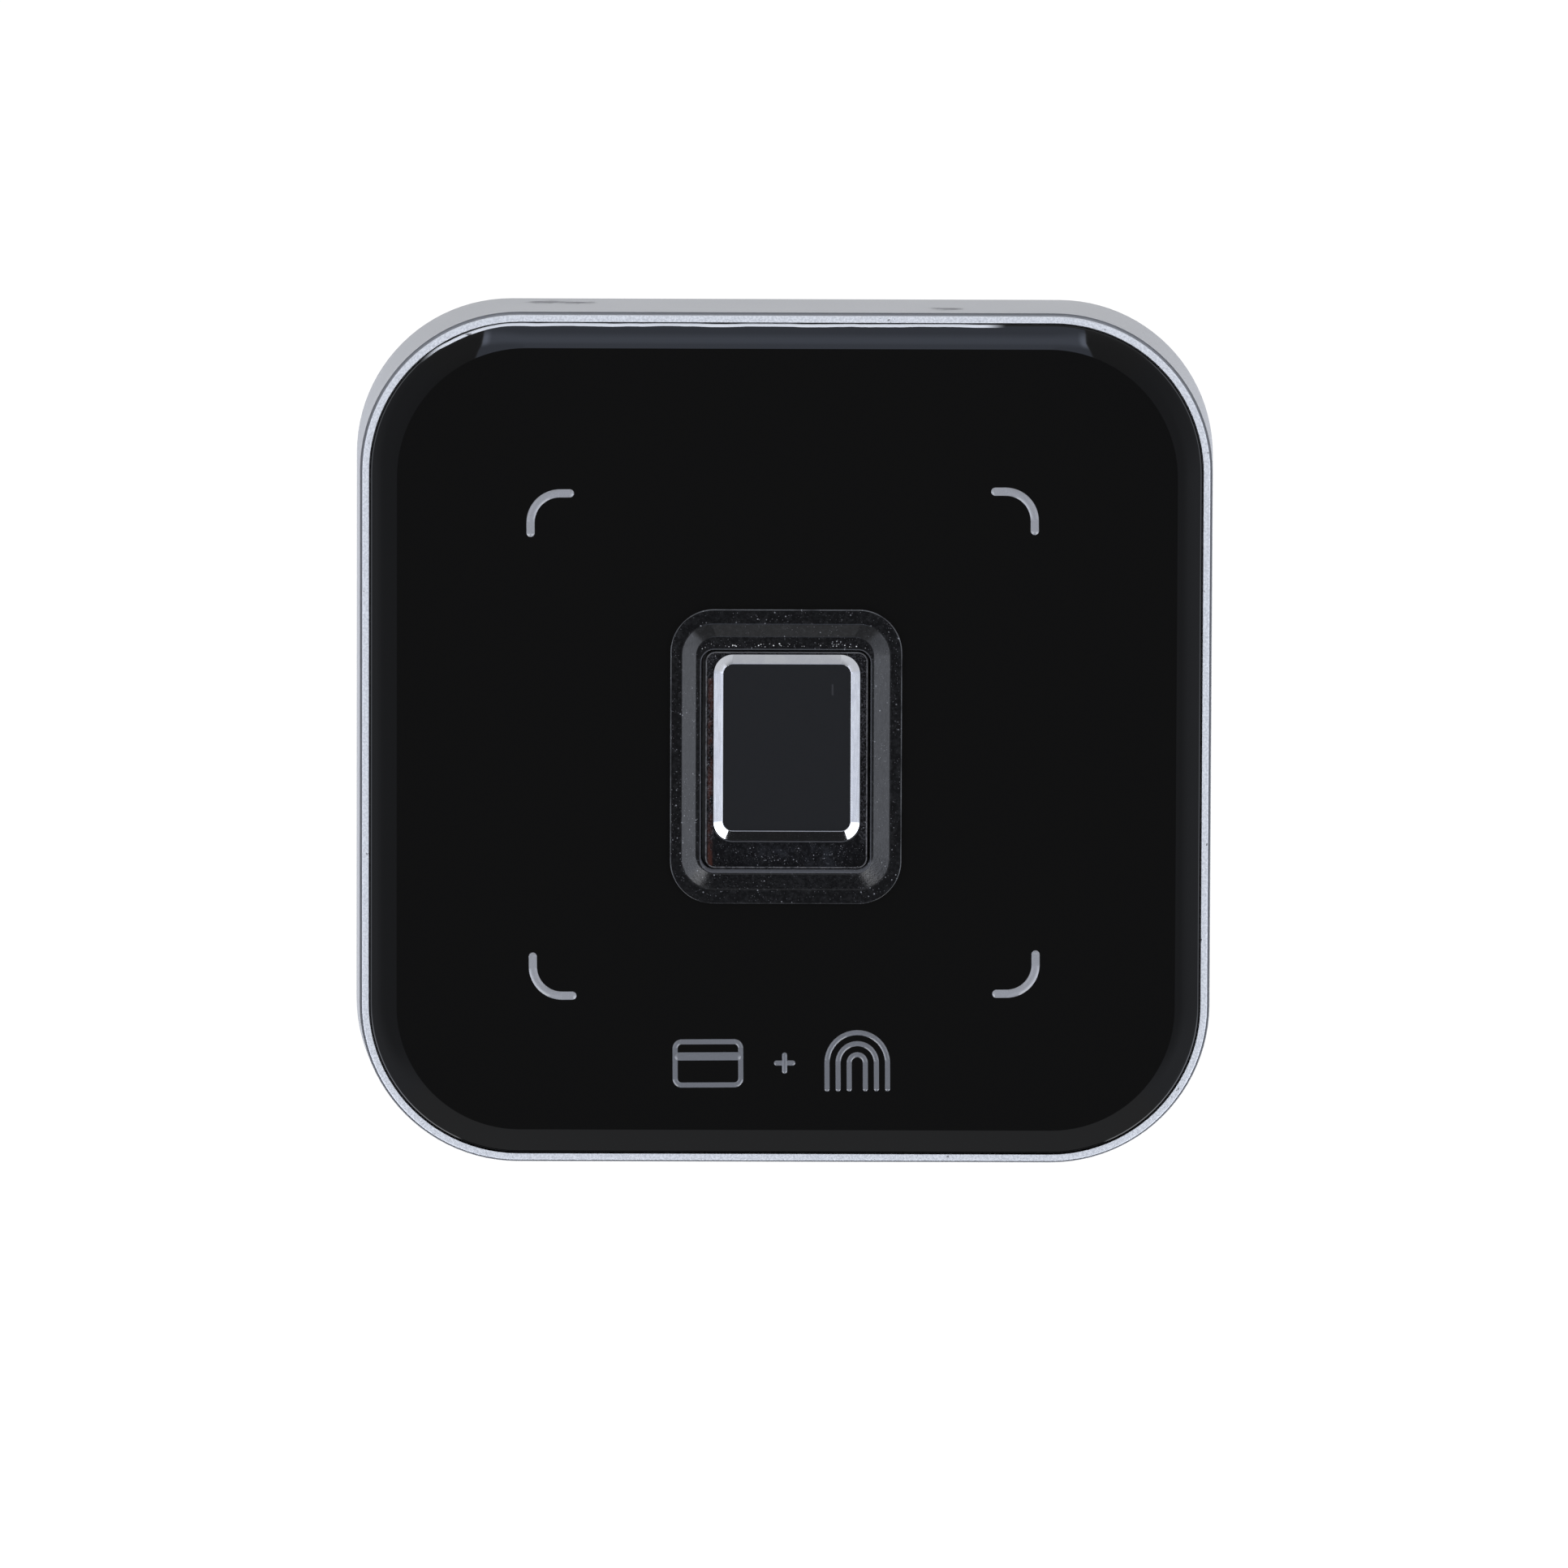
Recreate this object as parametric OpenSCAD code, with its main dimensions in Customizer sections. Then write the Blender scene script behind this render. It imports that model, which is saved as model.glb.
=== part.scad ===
// Fingerprint and card reader terminal for a square wall box.
// Origin: middle of the bracket's rear face, on the wall. +X right, +Z up, the front faces -Y.
// Depths are distances out from the wall, so a depth of 20 lies at y = -20.

/* [Body] */
// Side of the square shell at its rear edge
body_side = 86; // [85:0.5:88]
// Side of the shell where it meets the front frame
shell_front_side = 84.4; // [84.3:0.05:84.8]
// Distance of the corner arcs' centres from the middle lines
corner_centre = 26.5; // [26:0.5:28]
// Gap between the shell's rear edge and the wall, which lets the reader tilt
wall_gap = 1; // [0.8:0.1:1.2]
// Depth at which the shell ends and the front frame begins
shell_front = 17.8; // [17.6:0.1:18]

/* [Front] */
// Outer side of the silver rim around the glass
rim_side = 83.8; // [83.7:0.05:83.9]
// Depth of the rim's front face
rim_front = 19.6; // [19.5:0.1:19.8]
// Width of the rim's front face
rim_width = 0.65; // [0.6:0.05:0.7]
// Side of the glass
glass_side = 82.3; // [82.2:0.05:82.4]
// Width of the bevel around the glass
bevel_width = 2.6; // [2:0.1:3]
// Depth of the flat face of the glass
glass_front = 20.4; // [20.3:0.1:20.6]

/* [Card marks] */
// Distance between the outer edges of opposite corner marks
marks_span = 50.6; // [46:0.2:54]
// Width of the printed stroke
stroke = 0.8; // [0.6:0.1:1]
// Radius of a corner mark's middle line
mark_radius = 2.9; // [2.5:0.1:3.5]
// Straight run at each end of a corner mark
mark_run = 1; // [0.5:0.1:1.5]
// Height of the middle of the four corner marks
marks_z = -0.4; // [-1:0.1:1]
// Height of the middle of the pictograms
icon_z = -32.1; // [-34:0.1:-30]

/* [Sensor] */
// Width of the raised sensor frame
frame_w = 22.9; // [22.4:0.1:23.2]
// Height of the raised sensor frame
frame_h = 29.2; // [28.8:0.2:29.6]
// Depth of the sensor frame's crest
frame_crest = 21.6; // [21.5:0.1:21.7]
// Width of the chrome sensor ring
ring_w = 14.5; // [14.3:0.1:14.7]
// Height of the chrome sensor ring
ring_h = 18.5; // [18.3:0.1:18.6]
// Height of the ring's middle above the middle of the body
ring_z = -0.7; // [-0.8:0.05:-0.65]
// Width of the ring's sloping face
ring_slope = 0.9; // [0.8:0.05:1]
// Depth of the ring's front edge, the foremost place of the reader
ring_front = 22; // [21.9:0.1:22.2]

/* [Mounting] */
// Thickness of the bracket's steel sheet
sheet = 1.5; // [1.2:0.1:1.6]
// Distance between the wall box screws
box_screws_pitch = 60; // [58:0.5:62]
// Radius of the bracket's screw holes
box_screw_r = 2.2; // [2:0.1:2.4]
// Depth of the rolled bead that the reader hangs on
bead_depth = 2.4; // [2.3:0.1:2.5]
// Height of the bead
bead_z = 38.4; // [38.2:0.1:38.5]
// Radius of the bead
bead_r = 1; // [0.9:0.05:1]

/* [Hidden] */
$fn = 48;
shell_cavity = 81;
shell_rear_ledge_inner = 76;
shell_front_ledge_inner = 74;
rear_ledge = 5;
front_ledge = 15.2;
ledge_t = 1.2;
post_x = 33;
post_r = 2.8;
cover_rear = 3;
cover_front = 4.6;
cover_side = 80.6;
board_rear = 8.4;
board_front = 10;
board_post_x = 27;
board_post_z = 25;
floor_rear = 16.6;
floor_front = 18.2;
glass_rear = 18.4;
glass_edge = 19.45;
ink_t = 0.1;
frame_z = -1.65;
opening_z = -1.98;
opening_w = 16.3;
opening_h = 21.7;
opening_r = 1.1;
neck_w = 19.7;
neck_h = 26.1;
neck_r = 2.25;
neck_rear = 16.4;
carrier_top = 20.6;
carrier_rear = 15.2;
carrier_flange = 16;
ring_rear = 20.1;
ring_r = 1.95;
window_t = 0.32;
window_front = 21.92;
chip_well = 19;
flex_z = -6;
retainer_x = 12.5;
retainer_z = 11.5;
pilot_r = 0.85;
thread_r = 0.8;
shank_clear_r = 1.15;
saddle_clear = 0.05;
saddle_r = 1.9;
hook_x = 19;
lock_depth = 2.9;
lock_floor_z = -41.4;
lock_shank_r = 1;
plunger_x = 26;
plunger_z = -18;
plunger_r = 1.5;
socket_z = -6;
guide_z = 15.8;
frame_screw_seat = 17.3;

// Turns local x, y, z into across, up and out from the wall, starting at a depth.
module at_depth(depth) {
    translate([0, -depth, 0]) rotate([90, 0, 0]) children();
}

module slab(from, to) {
    at_depth(from) linear_extrude(to - from) children();
}

module rounded(w, h, r) {
    square([w - 2 * r, h], center = true);
    square([w, h - 2 * r], center = true);
    for (sx = [-1, 1], sz = [-1, 1])
        translate([sx * (w / 2 - r), sz * (h / 2 - r)]) circle(r);
}

// The body's square: its corner arcs share their centres at every size.
module body_square(side) {
    rounded(side, side, side / 2 - corner_centre);
}

// A rounded rectangle that shrinks by inset on every side over its height.
module tapered(w, h, r, inset, height) {
    straight_w = w - 2 * r;
    straight_h = h - 2 * r;
    for (sx = [-1, 1], sy = [-1, 1])
        translate([sx * straight_w / 2, sy * straight_h / 2, 0])
            cylinder(h = height, r1 = r, r2 = r - inset);
    rotate([90, 0, 0]) linear_extrude(straight_h, center = true)
        polygon([[-w / 2, 0], [w / 2, 0], [w / 2 - inset, height], [inset - w / 2, height]]);
    rotate([90, 0, 90]) linear_extrude(straight_w, center = true)
        polygon([[-h / 2, 0], [h / 2, 0], [h / 2 - inset, height], [inset - h / 2, height]]);
}

module at_corners(x, z) {
    for (sx = [-1, 1], sz = [-1, 1]) translate([sx * x, 0, sz * z]) children();
}

module disc(from, to, r, x = 0, z = 0) {
    at_depth(from) translate([x, z, 0]) cylinder(h = to - from, r = r);
}

module screw(head_from, head_to, head_r, tip, shank_r) {
    disc(min(head_from, head_to), max(head_from, head_to), head_r);
    disc(min(tip, head_from, head_to), max(tip, head_from, head_to), shank_r);
}

// A chip lying on the board's front face.
module chip(x, z, w, h, t) {
    translate([x, 0, z]) slab(board_front, board_front + t) square([w, h], center = true);
}

// Extrudes a profile of depth and height along X.
module along_x(width) {
    rotate([0, 0, -90]) rotate([90, 0, 0]) linear_extrude(width, center = true) children();
}

module hook_profile() {
    polygon([[0, 35], [sheet, 35], [2.9, 37.5], [bead_depth, bead_z], [1.5, 38.1], [0, 37.6]]);
    translate([bead_depth, bead_z]) circle(bead_r);
}

module wall_bracket() {
    hook_w = 10;
    tab_w = 10;
    tab_top = -38.7;
    tab_foot = -40.2;
    anchor_z = 28;
    color("lightsteelblue") {
        difference() {
            slab(0, sheet) rounded(72, 74, 4);
            slab(-1, sheet + 1) rounded(34, 28, 3);
            for (sx = [-1, 1]) {
                disc(-1, sheet + 1, box_screw_r, sx * box_screws_pitch / 2, 0);
                disc(-1, sheet + 1, box_screw_r, 0, sx * anchor_z);
            }
            disc(-1, sheet + 1, 2 * plunger_r, plunger_x, plunger_z);
        }
        for (sx = [-1, 1]) translate([sx * hook_x, 0, 0]) along_x(hook_w) hook_profile();
        difference() {
            along_x(tab_w) polygon([[0, -36], [sheet, -36], [sheet, tab_top],
                [cover_front, tab_top], [cover_front, tab_foot], [0, tab_foot]]);
            translate([0, -lock_depth, tab_foot - 1]) cylinder(h = 3, r = lock_shank_r + 0.05);
        }
    }
}

module lock_screw() {
    head_h = 1.5;
    head_r = 2.3;
    length = 5.4;
    head_z = lock_floor_z - 0.1 - head_h;
    color("silver") difference() {
        union() {
            translate([0, -lock_depth, head_z]) cylinder(h = head_h, r = head_r);
            translate([0, -lock_depth, head_z]) cylinder(h = length, r = lock_shank_r);
        }
        // Cross recess
        for (turn = [0, 90]) translate([0, -lock_depth, head_z]) rotate([0, 0, turn])
            cube([2.6, 0.6, 1.6], center = true);
    }
}

// Where the bead hooks work: a groove in the cover and a saddle over the bead.
module saddle_profile() {
    difference() {
        circle(saddle_r);
        circle(bead_r + saddle_clear);
        polygon([[0, 0], [6, -2.2], [0, -8], [-8, -8], [-8, 6.7]]);
    }
}

module rear_cover() {
    saddle_w = 9;
    groove_w = 11;
    board_post_r = 2.3;
    pilot_floor = 4.9;
    head_recess_r = 2.2;
    guide_outer_r = 4.2;
    guide_inner_r = 3.4;
    guide_front = 7;
    socket_window = [24.6, 7.2];
    tab_notch = [12, 5];
    color("dimgray") {
        difference() {
            union() {
                slab(cover_rear, cover_front) body_square(cover_side);
                at_corners(board_post_x, board_post_z) disc(cover_front, board_rear, board_post_r);
                disc(cover_front, guide_front, guide_outer_r, plunger_x, plunger_z);
            }
            at_corners(board_post_x, board_post_z) disc(pilot_floor, board_rear + 1, pilot_r);
            at_corners(post_x, post_x) {
                disc(cover_rear - 1, cover_front + 1, shank_clear_r);
                disc(cover_rear - 1, cover_rear + 1, head_recess_r);
            }
            disc(cover_rear - 1, cover_front + 1, plunger_r + 0.1, plunger_x, plunger_z);
            disc(cover_front, guide_front + 1, guide_inner_r, plunger_x, plunger_z);
            translate([0, 0, socket_z]) slab(cover_rear - 1, cover_front + 1)
                square(socket_window, center = true);
            translate([0, 0, -40]) slab(cover_rear - 1, cover_front + 1)
                square(tab_notch, center = true);
            for (sx = [-1, 1]) translate([sx * hook_x, -bead_depth, bead_z])
                along_x(groove_w) circle(bead_r + saddle_clear);
        }
        for (sx = [-1, 1]) translate([sx * hook_x, -bead_depth, bead_z])
            along_x(saddle_w) saddle_profile();
    }
}

module rear_cover_seal() {
    color("black") slab(cover_front, rear_ledge) difference() {
        body_square(80);
        body_square(77);
    }
}

module rear_cover_screws() {
    color("silver") at_corners(post_x, post_x) screw(3.2, cover_rear + 1, 2, 9.5, thread_r);
}

module rating_label() {
    color("white") translate([0, 0, 24]) slab(cover_rear - ink_t, cover_rear) rounded(30, 12, 1);
}

module main_housing() {
    corner_r = body_side / 2 - corner_centre;
    draft = (body_side - shell_front_side) / 2;
    rear_pilot_end = 10.2;
    front_pilot_start = 11.4;
    rib = [5.6, 2];
    color([0.73, 0.73, 0.74]) difference() {
        union() {
            difference() {
                at_depth(wall_gap)
                    tapered(body_side, body_side, corner_r, draft, shell_front - wall_gap);
                slab(wall_gap - 1, shell_front + 1) body_square(shell_cavity);
            }
            slab(rear_ledge, rear_ledge + ledge_t) ledge(shell_rear_ledge_inner);
            slab(front_ledge, floor_rear) ledge(shell_front_ledge_inner);
            at_corners(post_x, post_x) disc(cover_front, floor_rear, post_r);
            for (sx = [-1, 1], sz = [-1, 1]) translate([sx * post_x, 0, sz * post_x])
                slab(rear_ledge, floor_rear) rotate(45 + (sx * sz < 0 ? 90 : 0)
                    + (sz < 0 ? 180 : 0)) translate([0, -rib.y / 2]) square(rib);
        }
        at_corners(post_x, post_x) {
            disc(cover_front - 1, rear_pilot_end, pilot_r);
            disc(front_pilot_start, floor_rear + 1, pilot_r);
        }
        lock_slot();
    }
}

module ledge(inner) {
    difference() {
        body_square(shell_cavity + 1);
        body_square(inner);
    }
}

// Slot for the lock screw, open towards the wall, with a seat for the screw's head.
module lock_slot() {
    start_z = -44;
    slot_cut(start_z, 5, 1.6);
    slot_cut(start_z, lock_floor_z - start_z, 2.7);
}

module slot_cut(start_z, height, half_w) {
    translate([0, -lock_depth, start_z]) {
        cylinder(h = height, r = half_w);
        translate([-half_w, 0, 0]) cube([2 * half_w, lock_depth, height]);
    }
}

module sensor_passage() {
    translate([0, frame_z]) rounded(neck_w + 0.3, neck_h + 0.3, neck_r + 0.15);
}

module front_frame() {
    flange_front = 18.4;
    spigot_side = 80.7;
    shadow_side = 83.5;
    retainer_pilot_end = 17.6;
    color([0.8, 0.81, 0.84]) difference() {
        union() {
            slab(floor_rear, shell_front) body_square(spigot_side);
            slab(shell_front, flange_front) body_square(shadow_side);
            slab(flange_front, rim_front) body_square(rim_side);
            translate([0, 0, frame_z]) at_corners(retainer_x, retainer_z)
                disc(carrier_rear, floor_rear, 1.6);
        }
        slab(floor_front, rim_front + 1) body_square(rim_side - 2 * rim_width);
        slab(floor_rear - 2, floor_front + 1) sensor_passage();
        translate([0, 0, guide_z]) slab(floor_rear - 1, floor_front + 1) rounded(8.6, 2.6, 1);
        translate([0, 0, frame_z]) at_corners(retainer_x, retainer_z)
            disc(carrier_rear - 1, retainer_pilot_end, 0.65);
        at_corners(post_x, post_x) {
            disc(floor_rear - 1, floor_front + 1, shank_clear_r);
            disc(frame_screw_seat, floor_front + 1, 2.1);
        }
    }
}

module frame_screws() {
    color("silver") at_corners(post_x, post_x) screw(frame_screw_seat, 18.1, 1.9, 12,
        thread_r);
}

module glass_tape() {
    color("gray") slab(floor_front, glass_rear) difference() {
        body_square(81.6);
        translate([0, frame_z]) rounded(23, 29.4, 3);
        translate([0, guide_z]) rounded(9, 3, 1);
    }
}

module front_glass() {
    glass_r = glass_side / 2 - corner_centre;
    color([0.06, 0.06, 0.07]) difference() {
        union() {
            slab(glass_rear, glass_edge) body_square(glass_side);
            at_depth(glass_edge)
                tapered(glass_side, glass_side, glass_r, bevel_width, glass_front - glass_edge);
        }
        slab(glass_rear - 1, glass_front + 1) sensor_passage();
        slab(glass_front - ink_t, glass_front + 1) corner_marks();
        slab(glass_front - ink_t, glass_front + 1) pictograms();
    }
}

// One printed corner: a quarter arc with a short run and a round cap at each end.
module corner_mark() {
    edge = marks_span / 2 - stroke / 2;
    centre = edge - mark_radius;
    near = centre - mark_run;
    translate([centre, centre]) intersection() {
        difference() {
            circle(mark_radius + stroke / 2);
            circle(mark_radius - stroke / 2);
        }
        square(mark_radius * 2);
    }
    translate([near, edge - stroke / 2]) square([mark_run, stroke]);
    translate([edge - stroke / 2, near]) square([stroke, mark_run]);
    translate([near, edge]) circle(stroke / 2);
    translate([edge, near]) circle(stroke / 2);
}

module corner_marks() {
    translate([0, marks_z]) for (turn = [0 : 90 : 270]) rotate(turn) corner_mark();
}

module ring_2d(w, h, r, line) {
    difference() {
        rounded(w, h, r);
        rounded(w - 2 * line, h - 2 * line, r - line);
    }
}

// A card outline with a stripe, a plus, and a finger tip made of nested arches.
module pictograms() {
    line = 0.5;
    plus = 2;
    translate([-7.6, icon_z]) {
        ring_2d(7, 4.8, 0.9, line);
        translate([0, 0.7]) square([6.4, 0.8], center = true);
    }
    translate([0, icon_z]) {
        square([plus, line], center = true);
        square([line, plus], center = true);
    }
    translate([7.2, icon_z - 0.6]) {
        for (r = [0.8, 1.9, 3]) arch(r, line);
    }
}

module arch(r, line) {
    leg = 2.2;
    translate([0, 0.6]) {
        intersection() {
            difference() {
                circle(r + line / 2);
                circle(r - line / 2);
            }
            translate([-5, 0]) square([10, 5]);
        }
        for (sx = [-1, 1]) translate([sx * r - line / 2, -leg]) square([line, leg + 0.01]);
    }
}

module card_area_marks() {
    color([0.55, 0.55, 0.58]) slab(glass_front - ink_t, glass_front) corner_marks();
}

module function_icons() {
    color([0.4, 0.4, 0.43]) slab(glass_front - ink_t, glass_front) pictograms();
}

// Raised frame: a flat flange, a slope up to the crest, and a lip that slopes back inwards.
module sensor_frame() {
    base_front = 20.7;
    base_w = 20.7;
    base_h = 26.4;
    slope_z = -1.6;
    slope_w = 1.45;
    lip_w = 0.25;
    lip_depth = 0.25;
    color([0.1, 0.1, 0.11]) difference() {
        union() {
            translate([0, 0, frame_z]) slab(glass_front, base_front)
                rounded(frame_w, frame_h, 4.3);
            translate([0, 0, slope_z]) at_depth(base_front)
                tapered(base_w, base_h, 3.1, slope_w, frame_crest - base_front);
            translate([0, 0, frame_z]) slab(neck_rear, glass_front)
                rounded(neck_w, neck_h, neck_r);
        }
        translate([0, 0, opening_z]) slab(neck_rear - 1, frame_crest + 1)
            rounded(opening_w, opening_h, opening_r);
        translate([0, 0, opening_z]) at_depth(frame_crest - lip_depth)
            tapered(opening_w, opening_h, opening_r, -lip_w, lip_depth);
    }
}

module sensor_gasket() {
    color("black") slab(carrier_flange, neck_rear) difference() {
        translate([0, frame_z]) rounded(19.2, 25.6, 2);
        translate([0, opening_z]) rounded(opening_w + 0.2, opening_h + 0.2, opening_r);
    }
}

// Black plate inside the frame, with a pocket for the ring, a well and a slot for the flex.
module sensor_carrier() {
    gap = 0.1;
    color([0.05, 0.05, 0.06]) difference() {
        union() {
            translate([0, 0, opening_z]) slab(carrier_flange, carrier_top)
                rounded(opening_w - 2 * gap, opening_h - 2 * gap, opening_r - gap);
            translate([0, 0, frame_z]) slab(carrier_rear, carrier_flange) rounded(19.4, 25.8, 2);
        }
        translate([0, 0, ring_z]) slab(ring_rear, carrier_top + 1)
            rounded(ring_w + gap, ring_h + gap, ring_r + gap / 2);
        translate([0, 0, ring_z]) slab(chip_well, ring_rear + 1) square([10, 13], center = true);
        translate([0, 0, flex_z]) slab(carrier_rear - 1, chip_well + 0.1)
            square([9, 1.2], center = true);
    }
}

// The window's outline, or with a gap the hole that takes it.
module window_outline(gap = 0) {
    smaller = 2 * (ring_slope + 0.1 - gap);
    rounded(ring_w - smaller, ring_h - smaller, ring_r - ring_slope);
}

module sensor_ring() {
    slope_depth = 0.75;
    slope_rear = ring_front - slope_depth;
    color("silver") translate([0, 0, ring_z]) difference() {
        union() {
            slab(ring_rear, slope_rear) rounded(ring_w, ring_h, ring_r);
            at_depth(slope_rear) tapered(ring_w, ring_h, ring_r, ring_slope, slope_depth);
        }
        slab(ring_rear - 1, ring_front + 1) window_outline(0.05);
    }
}

module sensor_chip() {
    color([0.15, 0.15, 0.16]) translate([0, 0, ring_z]) {
        slab(ring_rear, window_front - window_t) window_outline();
        slab(chip_well + 0.1, ring_rear) square([9.6, 12.6], center = true);
    }
}

module sensor_window() {
    color([0.13, 0.14, 0.15]) translate([0, 0, ring_z])
        slab(window_front - window_t, window_front) window_outline();
}

module sensor_retainer() {
    color("gainsboro") translate([0, 0, frame_z]) slab(14.4, carrier_rear) difference() {
        rounded(28.8, 27, 2);
        translate([0, flex_z - frame_z]) rounded(11, 5, 1);
        for (sx = [-1, 1], sz = [-1, 1])
            translate([sx * retainer_x, sz * retainer_z]) circle(0.9);
    }
}

module retainer_screws() {
    color("silver") translate([0, 0, frame_z]) at_corners(retainer_x, retainer_z)
        screw(13.5, 14.4, 1.4, 17.2, 0.6);
}

module sensor_flex() {
    half_t = 0.1;
    color("orange") along_x(8) polygon([[chip_well + 0.1, flex_z + half_t],
        [chip_well + 0.1, flex_z - half_t], [12.8, flex_z - half_t], [11, -8.9], [11, -9.2],
        [10.8, -9.2], [10.8, -8.8], [12.7, flex_z + half_t]]);
}

module sensor_connector() {
    color("ivory") chip(0, -10.7, 11, 3, 1.6);
}

module board_outline() {
    rounded(60, 74, 2);
    rounded(74, 56, 2);
}

module main_board() {
    color("green") slab(board_rear, board_front) difference() {
        board_outline();
        for (sx = [-1, 1], sz = [-1, 1])
            translate([sx * board_post_x, sz * board_post_z]) circle(1.1);
    }
}

module board_screws() {
    color("silver") at_corners(board_post_x, board_post_z)
        screw(board_front, 11.1, 1.9, 5.4, thread_r);
}

module antenna_opening() {
    translate([0, frame_z]) rounded(40, 44, 3);
}

module antenna_board() {
    color("darkgreen") slab(15.8, floor_rear) difference() {
        rounded(59, 59, 5);
        antenna_opening();
    }
}

// Nested copper turns on the antenna board, joined by a bridge.
module antenna_coil() {
    outer = 57;
    turns = 4;
    track = 0.8;
    pitch = 1.6;
    bridge = (turns - 1) * pitch + track;
    color("peru") slab(15.7, 15.8) {
        for (turn = [0 : turns - 1])
            ring_2d(outer - 2 * pitch * turn, outer - 2 * pitch * turn, 5 - turn, track);
        translate([0, outer / 2 - bridge]) square([track, bridge]);
    }
}

module ferrite_sheet() {
    color("dimgray") slab(15.4, 15.7) difference() {
        rounded(58, 58, 4);
        antenna_opening();
        for (x = [-24.5, -22]) translate([x, 25.5]) circle(0.7);
    }
}

module antenna_pins() {
    color("gold") {
        for (x = [-24.5, -22]) disc(board_front, 15.7, 0.35, x, 25.5);
    }
    color("black") chip(-23.25, 25.5, 0.8, 2, 2);
}

module main_processor() {
    color("black") chip(-6, 18, 12, 12, 1.4);
}

module memory_chip() {
    color("black") chip(-18, 20, 6, 5, 1);
}

module card_reader_chip() {
    color("black") chip(14, 19, 6, 6, 0.9);
}

module interface_chip() {
    color("black") chip(-6, -20, 5, 4, 1.5);
}

module crystal() {
    color("silver") chip(-18, 13, 5, 3.2, 1.2);
}

module power_inductor() {
    color("dimgray") translate([-20, 0, -18]) slab(board_front, 13.2) rounded(7, 7, 1.5);
}

module power_capacitors() {
    color("silver") for (x = [8, 16]) disc(board_front, 14.6, 3.1, x, -24);
}

// Rows of resistors and capacitors beside the larger parts.
module small_components() {
    color("tan") {
        for (i = [0 : 5]) chip(-28 + 2.6 * i, 31, 1.6, 0.8, 0.5);
        for (i = [0 : 5]) chip(6 + 2.6 * i, 31, 1.6, 0.8, 0.5);
        for (i = [0 : 4]) chip(32, -8 + 3 * i, 0.8, 1.6, 0.6);
        for (i = [0 : 4]) chip(-32, -10 + 3 * i, 0.8, 1.6, 0.6);
    }
}

module status_leds() {
    color("white") for (x = [-2.4, 2.4]) chip(x + 4.6, guide_z - 1.6, 1.8, 1.2, 0.8);
}

// Carries the status light from the board to the back of the glass.
module light_guide() {
    color("white") translate([0, 0, guide_z]) slab(14, glass_rear) rounded(8, 2, 0.8);
}

module buzzer() {
    color("black") difference() {
        disc(board_front, 14.2, 5, -21.5, -2);
        disc(13.8, 15, 0.9, -21.5, -2);
    }
}

module wiring_connector() {
    color("white") translate([0, 0, socket_z]) difference() {
        slab(3.2, board_rear) square([24, 6.6], center = true);
        slab(2, 7.4) square([22, 4.8], center = true);
    }
}

module connector_pins() {
    pins = 8;
    color("gold") for (i = [0 : pins - 1])
        disc(4.2, 7.4, 0.3, (i - (pins - 1) / 2) * 2.5, socket_z);
}

module tamper_switch() {
    color("black") translate([plunger_x, 0, plunger_z]) {
        slab(7.2, board_rear) square([3.2, 3.2], center = true);
        disc(6.85, 7.2, 0.8);
    }
}

module tamper_plunger() {
    color("white") translate([plunger_x, 0, plunger_z]) {
        disc(0, 6.8, plunger_r);
        disc(6.2, 6.8, 3.1);
    }
}

// Closed turns of the small spring behind the plunger's collar.
module tamper_spring() {
    wire_r = 0.22;
    coil_r = 2.65;
    color("silver") for (depth = [7.04, 7.6, 8.16]) at_depth(depth)
        translate([plunger_x, plunger_z, 0]) rotate_extrude() translate([coil_r, 0]) circle(wire_r);
}

wall_bracket();
lock_screw();
rear_cover();
rear_cover_seal();
rear_cover_screws();
rating_label();
main_housing();
front_frame();
frame_screws();
glass_tape();
front_glass();
card_area_marks();
function_icons();
sensor_frame();
sensor_gasket();
sensor_carrier();
sensor_ring();
sensor_chip();
sensor_window();
sensor_retainer();
retainer_screws();
sensor_flex();
sensor_connector();
main_board();
board_screws();
antenna_board();
antenna_coil();
antenna_pins();
ferrite_sheet();
main_processor();
memory_chip();
card_reader_chip();
interface_chip();
crystal();
power_inductor();
power_capacitors();
small_components();
status_leds();
light_guide();
buzzer();
wiring_connector();
connector_pins();
tamper_switch();
tamper_plunger();
tamper_spring();
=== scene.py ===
import math

import bmesh
import bpy
from mathutils import Matrix, Vector


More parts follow.
